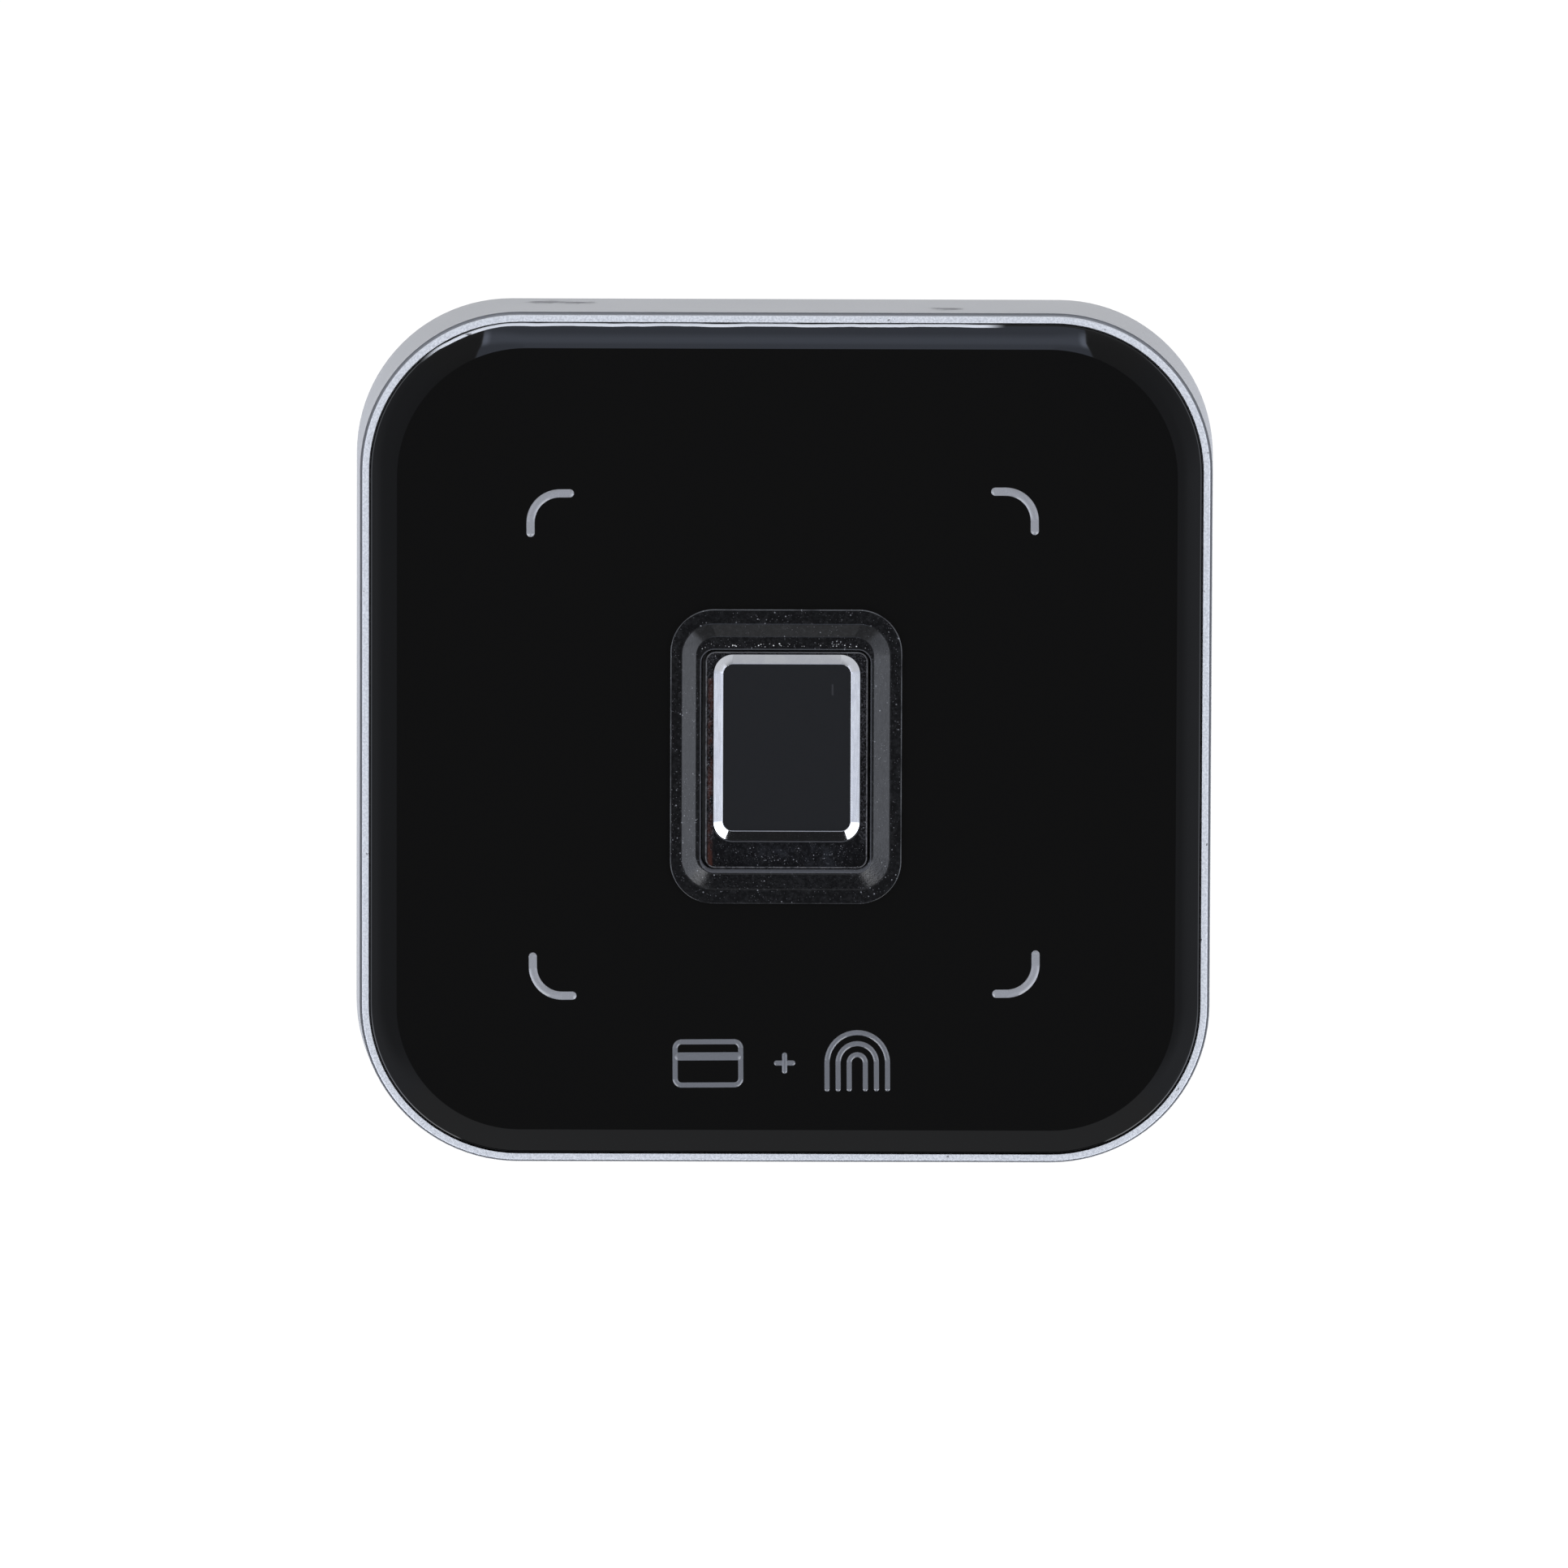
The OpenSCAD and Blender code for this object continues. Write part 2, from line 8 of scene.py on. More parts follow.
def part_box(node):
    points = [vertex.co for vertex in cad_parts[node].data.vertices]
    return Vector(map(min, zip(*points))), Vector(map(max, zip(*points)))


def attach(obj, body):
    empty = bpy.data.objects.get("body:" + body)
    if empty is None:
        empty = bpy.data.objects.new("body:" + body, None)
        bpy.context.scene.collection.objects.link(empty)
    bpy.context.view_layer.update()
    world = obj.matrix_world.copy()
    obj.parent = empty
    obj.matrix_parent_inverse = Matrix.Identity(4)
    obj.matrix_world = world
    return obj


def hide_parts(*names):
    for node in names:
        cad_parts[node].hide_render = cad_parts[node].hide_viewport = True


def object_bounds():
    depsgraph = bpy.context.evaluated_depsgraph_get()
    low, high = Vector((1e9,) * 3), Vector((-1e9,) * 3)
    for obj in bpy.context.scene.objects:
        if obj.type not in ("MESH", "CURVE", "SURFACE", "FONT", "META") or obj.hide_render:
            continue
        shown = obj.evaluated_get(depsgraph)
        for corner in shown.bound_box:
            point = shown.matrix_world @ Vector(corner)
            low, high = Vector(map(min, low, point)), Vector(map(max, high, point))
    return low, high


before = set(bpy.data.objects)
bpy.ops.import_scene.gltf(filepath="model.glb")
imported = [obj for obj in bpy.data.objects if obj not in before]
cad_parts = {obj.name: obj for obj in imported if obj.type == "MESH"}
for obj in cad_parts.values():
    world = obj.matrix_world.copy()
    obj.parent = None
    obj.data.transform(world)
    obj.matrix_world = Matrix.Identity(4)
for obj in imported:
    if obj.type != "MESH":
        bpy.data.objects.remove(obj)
CAD_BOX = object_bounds()

# Driving values in mm. A depth is a distance out from the wall.
MM = 0.001
MIDDLE = (0, 0)
GLASS_SHIFT = 0.1
SENSOR_X = 0.1
OPENING_Z = -2.0
PRINT_TURN = math.radians(0.4)
PRINT_SHIFT = -0.22
PRINT_RAISED = 0.012
PRINT_THICK = 0.04
CORNER_STEPS = 24
SOFT_STEPS = 5
READER = "reader"
BRACKET = "bracket"


# ---------------------------------------------------------------- places, from the frame

def extent(node):
    """Half width, half height, middle height, rear depth and front depth of a node, in mm."""
    lo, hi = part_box(node)
    half_w = (hi.x - lo.x) / 2 / MM
    half_h = (hi.z - lo.z) / 2 / MM
    return half_w, half_h, (hi.z + lo.z) / 2 / MM, -hi.y / MM, -lo.y / MM


SHELL_W, _, _, SHELL_REAR, SHELL_FRONT = extent("main_housing")
RIM_W, _, _, FLOOR_REAR, RIM_FRONT = extent("front_frame")
GLASS_W, _, _, GLASS_REAR, GLASS_FRONT = extent("front_glass")
BEZEL_W, BEZEL_H, BEZEL_Z, NECK_REAR, CREST = extent("sensor_frame")
RING_W, RING_H, RING_Z, RING_REAR, RING_FRONT = extent("sensor_ring")
_, _, _, WINDOW_REAR, WINDOW_FRONT = extent("sensor_window")
MARKS_W, MARKS_H, MARKS_Z, _, _ = extent("card_area_marks")

# Corner radii and outlines in mm that both a shape and its paint follow.
SHELL_EDGE = RIM_W + 0.33
SHELL_EDGE_R = 15.75
RIM_R = 15.45
GLASS_R = 14.8
BEZEL_R = 4.3
BEZEL_AT = (0.035, BEZEL_Z)
RING_R = 1.95
RING_AT = (SENSOR_X, RING_Z)
LIP = (8.39, 11.0, 1.3, (0, OPENING_Z))
CARRIER = (8.03, 10.74, 1.0, (0.08, -1.98))


# ---------------------------------------------------------------- mesh building

def outline(half_w, half_h, upper, lower, centre_x, centre_z, depth):
    """Points of a rounded rectangle facing the viewer, in metres, at one depth from the wall.
    The upper and the lower corners may differ in radius."""
    points = []
    for quarter, (sx, sz) in enumerate([(1, 1), (-1, 1), (-1, -1), (1, -1)]):
        r = upper if sz > 0 else lower
        for step in range(CORNER_STEPS + 1):
            angle = math.radians(90) * (quarter + step / CORNER_STEPS)
            x = sx * (half_w - r) + r * math.cos(angle) + centre_x
            z = sz * (half_h - r) + r * math.sin(angle) + centre_z
            points.append(Vector((x * MM, -depth * MM, z * MM)))
    return points


def soften(corners, closed=True):
    """Rounds a profile. A corner is (half_w, half_h, radius, (centre_x, centre_z), depth, softness),
    where the radius may be a pair for the upper and the lower corners."""
    out = []
    corners = [(w, h, *(r if isinstance(r, tuple) else (r, r)), *centre, depth, soft)
               for w, h, r, centre, depth, soft in corners]
    count = len(corners)
    for i, corner in enumerate(corners):
        here = Vector(corner[:7])
        soft = corner[7]
        ends = not closed and i in (0, count - 1)
        if ends or soft <= 0:
            out.append(here)
            continue
        before = Vector(corners[i - 1][:7])
        after = Vector(corners[(i + 1) % count][:7])
        start = here + (before - here) * min(0.45, soft / span(before, here))
        stop = here + (after - here) * min(0.45, soft / span(after, here))
        for step in range(SOFT_STEPS + 1):
            t = step / SOFT_STEPS
            out.append(start * (1 - t) ** 2 + here * 2 * t * (1 - t) + stop * t ** 2)
    return out


def span(a, b):
    """Distance between two profile corners, in mm, across and in depth."""
    return max(1e-6, math.hypot(a[0] - b[0], a[6] - b[6]))


def finish_mesh(name, mesh, material, body, replaced=()):
    """Turns a bmesh into a smooth piece that rides on a body and stands for CAD nodes."""
    bmesh.ops.recalc_face_normals(mesh, faces=mesh.faces)
    for face in mesh.faces:
        face.smooth = True
    data = bpy.data.meshes.new(name)
    mesh.to_mesh(data)
    mesh.free()
    piece = bpy.data.objects.new(name, data)
    bpy.context.scene.collection.objects.link(piece)
    piece.data.materials.append(material)
    normals = piece.modifiers.new("flat faces stay flat", "WEIGHTED_NORMAL")
    normals.weight = 90
    normals.keep_sharp = True
    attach(piece, body)
    if replaced:
        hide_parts(*replaced)
    return piece


def loft(sections, closed=True):
    """A bmesh through outlines of equal point counts: a closed ring, or a solid with two caps."""
    mesh = bmesh.new()
    rings = [[mesh.verts.new(p) for p in outline(*s)] for s in sections]
    pairs = list(zip(rings, rings[1:]))
    if closed:
        pairs.append((rings[-1], rings[0]))
    for a, b in pairs:
        for i in range(len(a)):
            j = (i + 1) % len(a)
            mesh.faces.new((a[i], a[j], b[j], b[i]))
    if not closed:
        mesh.faces.new(rings[0][::-1])
        mesh.faces.new(rings[-1])
    return mesh


def lofted(name, corners, material, replaced=(), closed=True):
    """A piece of the reader that follows a rounded rectangle all the way round."""
    return finish_mesh(name, loft(soften(corners, closed), closed), material, READER, replaced)


def rounded_copy(node, material, body, width, merged=True):
    """A copy of a CAD node with its sharp edges rounded, which stands for that node. Its flat
    faces are merged first, unless they hold so many holes that this would fold them."""
    mesh = bmesh.new()
    mesh.from_mesh(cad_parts[node].data)
    bmesh.ops.remove_doubles(mesh, verts=mesh.verts, dist=1e-7)
    if merged:
        bmesh.ops.dissolve_limit(mesh, angle_limit=math.radians(1), verts=mesh.verts, edges=mesh.edges)
    bmesh.ops.bevel(mesh, geom=turned_edges(mesh, 40), offset=width * MM, offset_type="OFFSET",
                    segments=2, profile=0.5, affect="EDGES", clamp_overlap=True)
    bmesh.ops.remove_doubles(mesh, verts=mesh.verts, dist=1e-7)
    bmesh.ops.triangulate(mesh, faces=[face for face in mesh.faces if len(face.verts) > 4])
    for edge in turned_edges(mesh, 55):
        edge.smooth = False
    return finish_mesh(node + "_rounded", mesh, material, body, [node])


def turned_edges(mesh, degrees):
    """Edges whose two faces meet at more than some degrees."""
    return [edge for edge in mesh.edges
            if len(edge.link_faces) == 2 and edge.calc_face_angle(0) > math.radians(degrees)]


def path_normals(points, loop):
    """Unit normals of a flat path of (x, z) points."""
    count = len(points)
    normals = []
    for i in range(count):
        a = points[i - 1] if loop or i > 0 else points[i]
        b = points[(i + 1) % count] if loop or i < count - 1 else points[i]
        direction = (b - a).normalized()
        normals.append(Vector((-direction.y, direction.x)))
    return normals


def add_stroke(mesh, points, width, depth, loop=False):
    """A printed stroke: a thin ribbon along a path of (x, z) points in mm, with round ends."""
    half = width / 2
    normals = path_normals(points, loop)
    left = [p + n * half for p, n in zip(points, normals)]
    right = [p - n * half for p, n in zip(points, normals)]
    if loop:
        add_band(mesh, left, right, depth)
        return
    start = cap(points[0], normals[0] * half)
    stop = cap(points[-1], normals[-1] * -half)
    rim = start + right + stop + left[::-1]
    top = [mesh.verts.new((p.x * MM, -depth * MM, p.y * MM)) for p in rim]
    low = [mesh.verts.new((p.x * MM, -(depth - PRINT_THICK) * MM, p.y * MM)) for p in rim]
    count = len(points)
    first = len(start)
    last = first + count + len(stop)
    for side, outward in ((top, True), (low, False)):
        rights = side[first:first + count]
        lefts = side[last:last + count][::-1]
        for i in range(count - 1):
            quad = (rights[i], rights[i + 1], lefts[i + 1], lefts[i])
            mesh.faces.new(quad if outward else quad[::-1])
        start_cap = [lefts[0]] + side[:first] + [rights[0]]
        stop_cap = [rights[-1]] + side[first + count:last] + [lefts[-1]]
        for ring in (start_cap, stop_cap):
            mesh.faces.new(ring if outward else ring[::-1])
    for i in range(len(rim)):
        j = (i + 1) % len(rim)
        mesh.faces.new((low[i], low[j], top[j], top[i]))


def cap(end, reach):
    """Points of a half circle round the end of a stroke, without its two corners."""
    steps = 10
    return [end + Matrix.Rotation(math.pi * step / steps, 2) @ reach for step in range(1, steps)]


def add_band(mesh, left, right, depth):
    """A printed stroke that closes on itself."""
    loops = []
    low = depth - PRINT_THICK
    for line, level in ((left, depth), (right, depth), (right, low), (left, low)):
        loops.append([mesh.verts.new((p.x * MM, -level * MM, p.y * MM)) for p in line])
    for a, b in zip(loops, loops[1:] + loops[:1]):
        for i in range(len(a)):
            j = (i + 1) % len(a)
            mesh.faces.new((a[i], a[j], b[j], b[i]))


def arc_points(centre, radius, start, stop, steps):
    """Points of a flat arc between two angles in degrees."""
    return [Vector((centre[0] + radius * math.cos(math.radians(a)),
                    centre[1] + radius * math.sin(math.radians(a))))
            for a in [start + (stop - start) * i / steps for i in range(steps + 1)]]


# ---------------------------------------------------------------- materials

class Formula:
    """Short ways to write a formula with shader nodes. A value is a number or a node's output."""

    def __init__(self, tree):
        self.nodes = tree.nodes
        self.links = tree.links

    def math(self, operation, a, b=0.0):
        node = self.nodes.new("ShaderNodeMath")
        node.operation = operation
        for socket, value in zip(node.inputs, (a, b)):
            if isinstance(value, (int, float)):
                socket.default_value = value
            else:
                self.links.new(value, socket)
        return node.outputs[0]

    def span(self, value, low, high, out_low=0.0, out_high=1.0):
        """A smooth step of a value between two levels."""
        node = self.nodes.new("ShaderNodeMapRange")
        node.interpolation_type = "SMOOTHSTEP"
        self.links.new(value, node.inputs["Value"])
        levels = (("From Min", low), ("From Max", high), ("To Min", out_low), ("To Max", out_high))
        for key, level in levels:
            node.inputs[key].default_value = level
        return node.outputs["Result"]

    def times(self, *factors):
        """The product of some values."""
        product = factors[0]
        for factor in factors[1:]:
            product = self.math("MULTIPLY", product, factor)
        return product

    def toward(self, value, target, *factors):
        """A value pulled to a target by the product of some factors."""
        factor = self.times(*factors)
        kept = self.times(value, self.math("SUBTRACT", 1, factor))
        return self.math("ADD", kept, self.times(factor, target))


class Paint(Formula):
    """A Principled material and short ways to add procedural detail, in object space in mm."""

    def __init__(self, name, colour, roughness, metallic=0.0, ior=1.5, coat=0.0, coat_roughness=0.03):
        self.material = bpy.data.materials.new(name)
        self.material.use_nodes = True
        super().__init__(self.material.node_tree)
        self.shader = self.nodes["Principled BSDF"]
        self.set("Base Color", (*colour, 1))
        self.set("Roughness", roughness)
        self.set("Metallic", metallic)
        self.set("IOR", ior)
        self.set("Coat Weight", coat)
        self.set("Coat Roughness", coat_roughness)
        place = self.nodes.new("ShaderNodeTexCoord")
        scale = self.nodes.new("ShaderNodeVectorMath")
        scale.operation = "SCALE"
        scale.inputs["Scale"].default_value = 1 / MM
        self.links.new(place.outputs["Object"], scale.inputs[0])
        self.place = scale.outputs[0]

    def set(self, socket, value):
        self.shader.inputs[socket].default_value = value

    def link(self, output, socket):
        self.links.new(output, self.shader.inputs[socket])

    def stretched(self, scale):
        """The place in mm, scaled by axis, for streaks and brushing."""
        node = self.nodes.new("ShaderNodeVectorMath")
        node.operation = "MULTIPLY"
        self.links.new(self.place, node.inputs[0])
        node.inputs[1].default_value = scale
        return node.outputs[0]

    def noise(self, size, detail=3.0, roughness=0.55, scale=(1, 1, 1), seed=0.0):
        """Fractal noise, about 0.3 to 0.7, whose blobs are size mm across."""
        node = self.nodes.new("ShaderNodeTexNoise")
        node.noise_dimensions = "4D"
        node.inputs["W"].default_value = seed
        node.inputs["Scale"].default_value = 1 / size
        node.inputs["Detail"].default_value = detail
        node.inputs["Roughness"].default_value = roughness
        self.links.new(self.stretched(scale), node.inputs["Vector"])
        return node.outputs["Fac"]

    def cells(self, size, seed):
        """Distance from scattered points, 0 on a point, with cells size mm across."""
        node = self.nodes.new("ShaderNodeTexVoronoi")
        node.voronoi_dimensions = "4D"
        node.inputs["W"].default_value = seed
        node.inputs["Scale"].default_value = 1 / size
        self.links.new(self.place, node.inputs["Vector"])
        return node.outputs["Distance"]

    def axis(self, name):
        node = self.nodes.new("ShaderNodeSeparateXYZ")
        self.links.new(self.place, node.inputs[0])
        return node.outputs[name]

    def patch(self, centre, size, soft):
        """1 inside a box round a centre, in mm, fading over soft."""
        mask = 1.0
        for axis, middle, half in zip("XYZ", centre, size):
            if half is None:
                continue
            away = self.math("ABSOLUTE", self.math("SUBTRACT", self.axis(axis), middle), 0)
            inside = self.span(away, half, half + soft, 1.0, 0.0)
            mask = self.times(mask, inside)
        return mask

    def rim_distance(self, half_w, half_h, radius, centre):
        """Distance outwards from a rounded rectangle's outline, in mm, negative inside it."""
        over = []
        for axis, middle, half in zip("XZ", centre, (half_w, half_h)):
            away = self.math("ABSOLUTE", self.math("SUBTRACT", self.axis(axis), middle), 0)
            over.append(self.math("SUBTRACT", away, half - radius))
        squares = [self.math("POWER", self.math("MAXIMUM", value, 0), 2) for value in over]
        outside = self.math("POWER", self.math("ADD", *squares), 0.5)
        inside = self.math("MINIMUM", self.math("MAXIMUM", *over), 0)
        return self.math("SUBTRACT", self.math("ADD", outside, inside), radius)

    def line(self, distance, middle, half, soft):
        """1 where a distance lies near a value, fading over soft."""
        away = self.math("ABSOLUTE", self.math("SUBTRACT", distance, middle), 0)
        return self.span(away, half, half + soft, 1.0, 0.0)

    def mix(self, factor, a, b):
        """Colour a to colour b by a factor. A colour may be a socket or three numbers."""
        node = self.nodes.new("ShaderNodeMix")
        node.data_type = "RGBA"
        self.links.new(factor, node.inputs[0])
        for socket, value in ((node.inputs[6], a), (node.inputs[7], b)):
            if isinstance(value, (tuple, list)):
                socket.default_value = (*value[:3], 1)
            else:
                self.links.new(value, socket)
        return node.outputs[2]

    def bump(self, height, distance):
        """Fine relief, distance mm high where the height is 1."""
        node = self.nodes.new("ShaderNodeBump")
        node.inputs["Distance"].default_value = distance * MM
        node.inputs["Strength"].default_value = 1.0
        self.links.new(height, node.inputs["Height"])
        self.link(node.outputs["Normal"], "Normal")


def mottled(name, colour, roughness, size=0.6, depth=0.12, bump=0.0, **more):
    """A plain moulded or cast surface: a little uneven in colour, gloss and height."""
    paint = Paint(name, colour, roughness, **more)
    grain = paint.noise(size, 4)
    broad = paint.noise(size * 12, 2, seed=3.0)
    darker = tuple(c * (1 - depth) for c in colour)
    lighter = tuple(min(1, c * (1 + depth)) for c in colour)
    tone = paint.mix(paint.span(grain, 0.35, 0.65), darker, lighter)
    paint.link(paint.mix(paint.span(broad, 0.3, 0.7), tone, darker), "Base Color")
    paint.link(paint.span(grain, 0.3, 0.7, roughness * 0.85, min(1, roughness * 1.15)), "Roughness")
    if bump:
        paint.bump(grain, bump)
    return paint.material


def shell_paint():
    """Light grey matte paint with a fine tooth, dust specks, dark scuffs on the top side, and painted
    shade: darker grey in the groove just inside the front edge.
    """
    paint = Paint("shell_paint", (0.48, 0.48, 0.485), 0.55)
    tooth = paint.noise(0.12, 2)
    broad = paint.noise(9, 3, seed=1.0)
    colour = paint.mix(paint.span(broad, 0.3, 0.7), (0.445, 0.447, 0.455), (0.48, 0.48, 0.485))
    colour = paint.mix(paint.span(tooth, 0.35, 0.65, 0, 0.5), colour, (0.43, 0.432, 0.44))
    speck = paint.span(paint.cells(3.2, 2.0), 0.03, 0.06, 1, 0)
    colour = paint.mix(paint.times(speck, 0.6), colour, (0.20, 0.20, 0.21))
    top = paint.span(paint.axis("Z"), SHELL_W - 4, SHELL_W - 2)
    scuffs = ((-24.0, -6.0, 1.9, 2.0, 4.0), (-21.0, -6.5, 3.6, 0.5, 9.0), (15.8, -13.2, 2.2, 1.0, 5.0))
    for x, y, half_x, half_y, seed in scuffs:
        wear_and_edge_glint = paint.patch((x, y, 0), (half_x * 0.2, half_y * 0.2, None), half_x + half_y)
        streaks = paint.math("ADD", paint.noise(0.9, 5, 0.75, scale=(0.3, 1, 1), seed=seed),
                             paint.times(wear_and_edge_glint, 0.3))
        mark = paint.times(paint.span(streaks, 0.70, 0.78), wear_and_edge_glint, top)
        colour = paint.mix(paint.times(mark, 0.9), colour, (0.12, 0.12, 0.13))
    # Painted shade: the groove just inside the front edge, near the front, is painted darker grey.
    edge = paint.rim_distance(SHELL_EDGE, SHELL_EDGE, SHELL_EDGE_R, MIDDLE)
    groove = paint.span(edge, -0.11, -0.07, 1, 0)
    front = paint.span(paint.axis("Y"), -16.9, -16.6, 1, 0)
    colour = paint.mix(paint.times(groove, front), colour, (0.30, 0.31, 0.335))
    paint.link(colour, "Base Color")
    paint.link(paint.span(broad, 0.3, 0.7, 0.5, 0.62), "Roughness")
    paint.bump(tooth, 0.006)
    return paint.material


def rim_paint():
    """Silver paint with metal flakes that catch the light, a few chips, and painted shade: near black on
    the inner wall below the front face.
    """
    paint = Paint("rim_silver_paint", (0.62, 0.64, 0.68), 0.42, metallic=0.15)
    flake = paint.cells(0.16, 1.0)
    grain = paint.noise(0.22, 3, seed=2.0)
    colour = paint.mix(paint.span(grain, 0.36, 0.64), (0.54, 0.56, 0.60), (0.70, 0.72, 0.76))
    colour = paint.mix(paint.span(flake, 0.1, 0.35, 0.8, 0), colour, (0.84, 0.85, 0.88))
    chips = paint.times(paint.span(paint.noise(0.7, 3, seed=6.0), 0.66, 0.69),
                        paint.span(paint.noise(6, 1, seed=8.0), 0.5, 0.6))
    nick = paint.patch((RIM_W, 0, 30.5), (0.35, None, 0.5), 0.15)
    colour = paint.mix(paint.math("MAXIMUM", chips, nick), colour, (0.12, 0.12, 0.13))
    # Painted shade: the rim's inner wall below its front face is painted near black.
    inside = paint.rim_distance(RIM_W, RIM_W, RIM_R, MIDDLE)
    shade = paint.times(paint.span(inside, -0.64, -0.60, 1, 0), paint.span(paint.axis("Y"), -19.56, -19.50))
    colour = paint.mix(shade, colour, (0.02, 0.018, 0.016))
    paint.link(colour, "Base Color")
    paint.link(paint.span(grain, 0.3, 0.7, 0.34, 0.52), "Roughness")
    paint.bump(grain, 0.02)
    return paint.material


def groove_shade_paint():
    """The narrow step under the rim, painted darker grey than the shell and rim: painted shade for the
    groove between them.
    """
    return mottled("rim_step_groove_shade", (0.32, 0.33, 0.355), 0.5, size=0.3, depth=0.15, bump=0.004)


def glass_polish():
    """Black-backed glass: polished, with faint smears, dust specks and a ragged light silver line
    near its outer edge along part of the top."""
    base = (0.0030, 0.0029, 0.0028)
    paint = Paint("black_glass", base, 0.03, ior=1.5)
    smear = paint.noise(14, 4, 0.6, seed=1.0)
    speck = paint.span(paint.cells(7.0, 3.0), 0.008, 0.018, 1, 0)
    colour = paint.mix(paint.times(speck, 0.5), base, (0.10, 0.10, 0.10))
    # A ragged light silver line near the outer edge along part of the top, also rougher there.
    edge = paint.rim_distance(GLASS_W, GLASS_W, GLASS_R, MIDDLE)
    wander = paint.span(paint.noise(5, 3, seed=5.0), 0.3, 0.7, -0.05, 0.05)
    silver_edge_line = paint.times(paint.line(paint.math("ADD", edge, wander), -0.17, 0.12, 0.05),
                            paint.patch((-7.3, 0, GLASS_W), (26.5, None, 3), 2.5),
                            paint.span(paint.noise(0.8, 3, scale=(0.4, 1, 1), seed=7.0), 0.22, 0.34))
    colour = paint.mix(silver_edge_line, colour, (0.66, 0.68, 0.72))
    paint.link(colour, "Base Color")
    polish = paint.span(smear, 0.35, 0.7, 0.022, 0.055)
    paint.link(paint.math("ADD", polish, paint.times(silver_edge_line, 0.4)), "Roughness")
    return paint.material


def ink(name, colour):
    """Screen printed ink under the same gloss."""
    paint = Paint(name, colour, 0.5, coat=1.0)
    screen = paint.noise(0.12, 2)
    low = tuple(c * 0.93 for c in colour)
    high = tuple(c * 1.07 for c in colour)
    paint.link(paint.mix(paint.span(screen, 0.35, 0.65), low, high), "Base Color")
    paint.link(paint.span(screen, 0.3, 0.7, 0.45, 0.6), "Roughness")
    return paint.material


def dust(paint, colour, amount, seed, fine=0.45):
    """Adds scattered dust: fine specks, a few larger ones and a faint film."""
    where = paint.span(paint.noise(2.4, 3, 0.6, seed=seed + 5), 0.34, 0.60)
    specks = paint.span(paint.cells(fine, seed), 0.10, 0.22, 1, 0)
    micro = paint.span(paint.cells(fine * 0.45, seed + 7), 0.14, 0.30, 0.45, 0)
    specks = paint.times(paint.math("MAXIMUM", specks, micro), where)
    large = paint.span(paint.cells(1.9, seed + 1), 0.035, 0.055, 1, 0)
    film = paint.times(paint.span(paint.noise(0.35, 4, 0.7, seed=seed + 2), 0.42, 0.75), 0.05)
    cover = paint.math("MAXIMUM", paint.math("MAXIMUM", specks, large), film)
    cover = paint.times(cover, amount)
    return paint.mix(cover, colour, (0.41, 0.42, 0.45)), cover


def bezel_plastic():
    """Satin black plastic with dust, painted highlights along the flange's outer edge and the lip's edges,
    and fine scratches at the lower corners.
    """
    base = (0.004, 0.004, 0.0045)
    paint = Paint("bezel_satin_black", base, 0.17, ior=1.52)
    colour, cover = dust(paint, base, 0.55, 1.0)
    flange = paint.rim_distance(BEZEL_W, BEZEL_H, BEZEL_R, BEZEL_AT)
    # Painted highlight: a broken light line along the flange's outer edge, weaker towards the bottom.
    wear_and_edge_glint = paint.times(paint.line(flange, -0.05, 0.03, 0.04),
                       paint.span(paint.axis("Z"), -14.5, -12.5, 0.2, 1),
                       paint.span(paint.noise(3, 3, seed=21.0), 0.3, 0.6, 0.15, 0.9))
    colour = paint.mix(paint.times(wear_and_edge_glint, 0.25), colour, (0.34, 0.35, 0.37))
    crest = paint.rim_distance(*LIP)
    wander = paint.span(paint.noise(1.1, 3, seed=22.0), 0.3, 0.7, -0.10, 0.10)
    ridge = paint.times(paint.line(paint.math("ADD", crest, wander), 0.46, 0.05, 0.14),
                        paint.span(paint.axis("Z"), 9.0, 9.1),
                        paint.span(paint.noise(1.6, 2, scale=(1, 1, 0.2), seed=24.0), 0.42, 0.55, 0.35, 1),
                        paint.span(paint.cells(0.2, 23.0), 0.2, 0.42, 1, 0))
    colour = paint.mix(ridge, colour, (0.72, 0.72, 0.72))
    # Painted highlight: light lines along the lip's outer edge, stronger at the bottom, and along its inner
    # edge at the bottom.
    foot = paint.span(paint.axis("Z"), -12.0, -11.6, 1, 0)
    inner_line = paint.times(paint.line(crest, -0.12, 0.09, 0.05), foot)
    arris = paint.math("MAXIMUM", paint.line(crest, 0.04, 0.05, 0.04), inner_line)
    shine = paint.times(arris, paint.math("ADD", paint.times(foot, 0.3), 0.7), 0.38)
    colour = paint.mix(shine, colour, (0.16, 0.165, 0.185))
    paint.link(colour, "Base Color")
    scratch = paint.noise(0.10, 2, scale=(1, 1, 0.12), seed=4.0)
    satin = paint.span(scratch, 0.4, 0.62, 0.14, 0.22)
    paint.link(paint.math("ADD", satin, paint.times(cover, 0.4)), "Roughness")
    low = paint.span(paint.axis("Z"), -11.2, -9.5, 1, 0)
    swirl = paint.times(paint.noise(0.16, 3, seed=6.0), paint.math("ADD", 0.4, low))
    paint.bump(swirl, 0.012)
    return paint.material


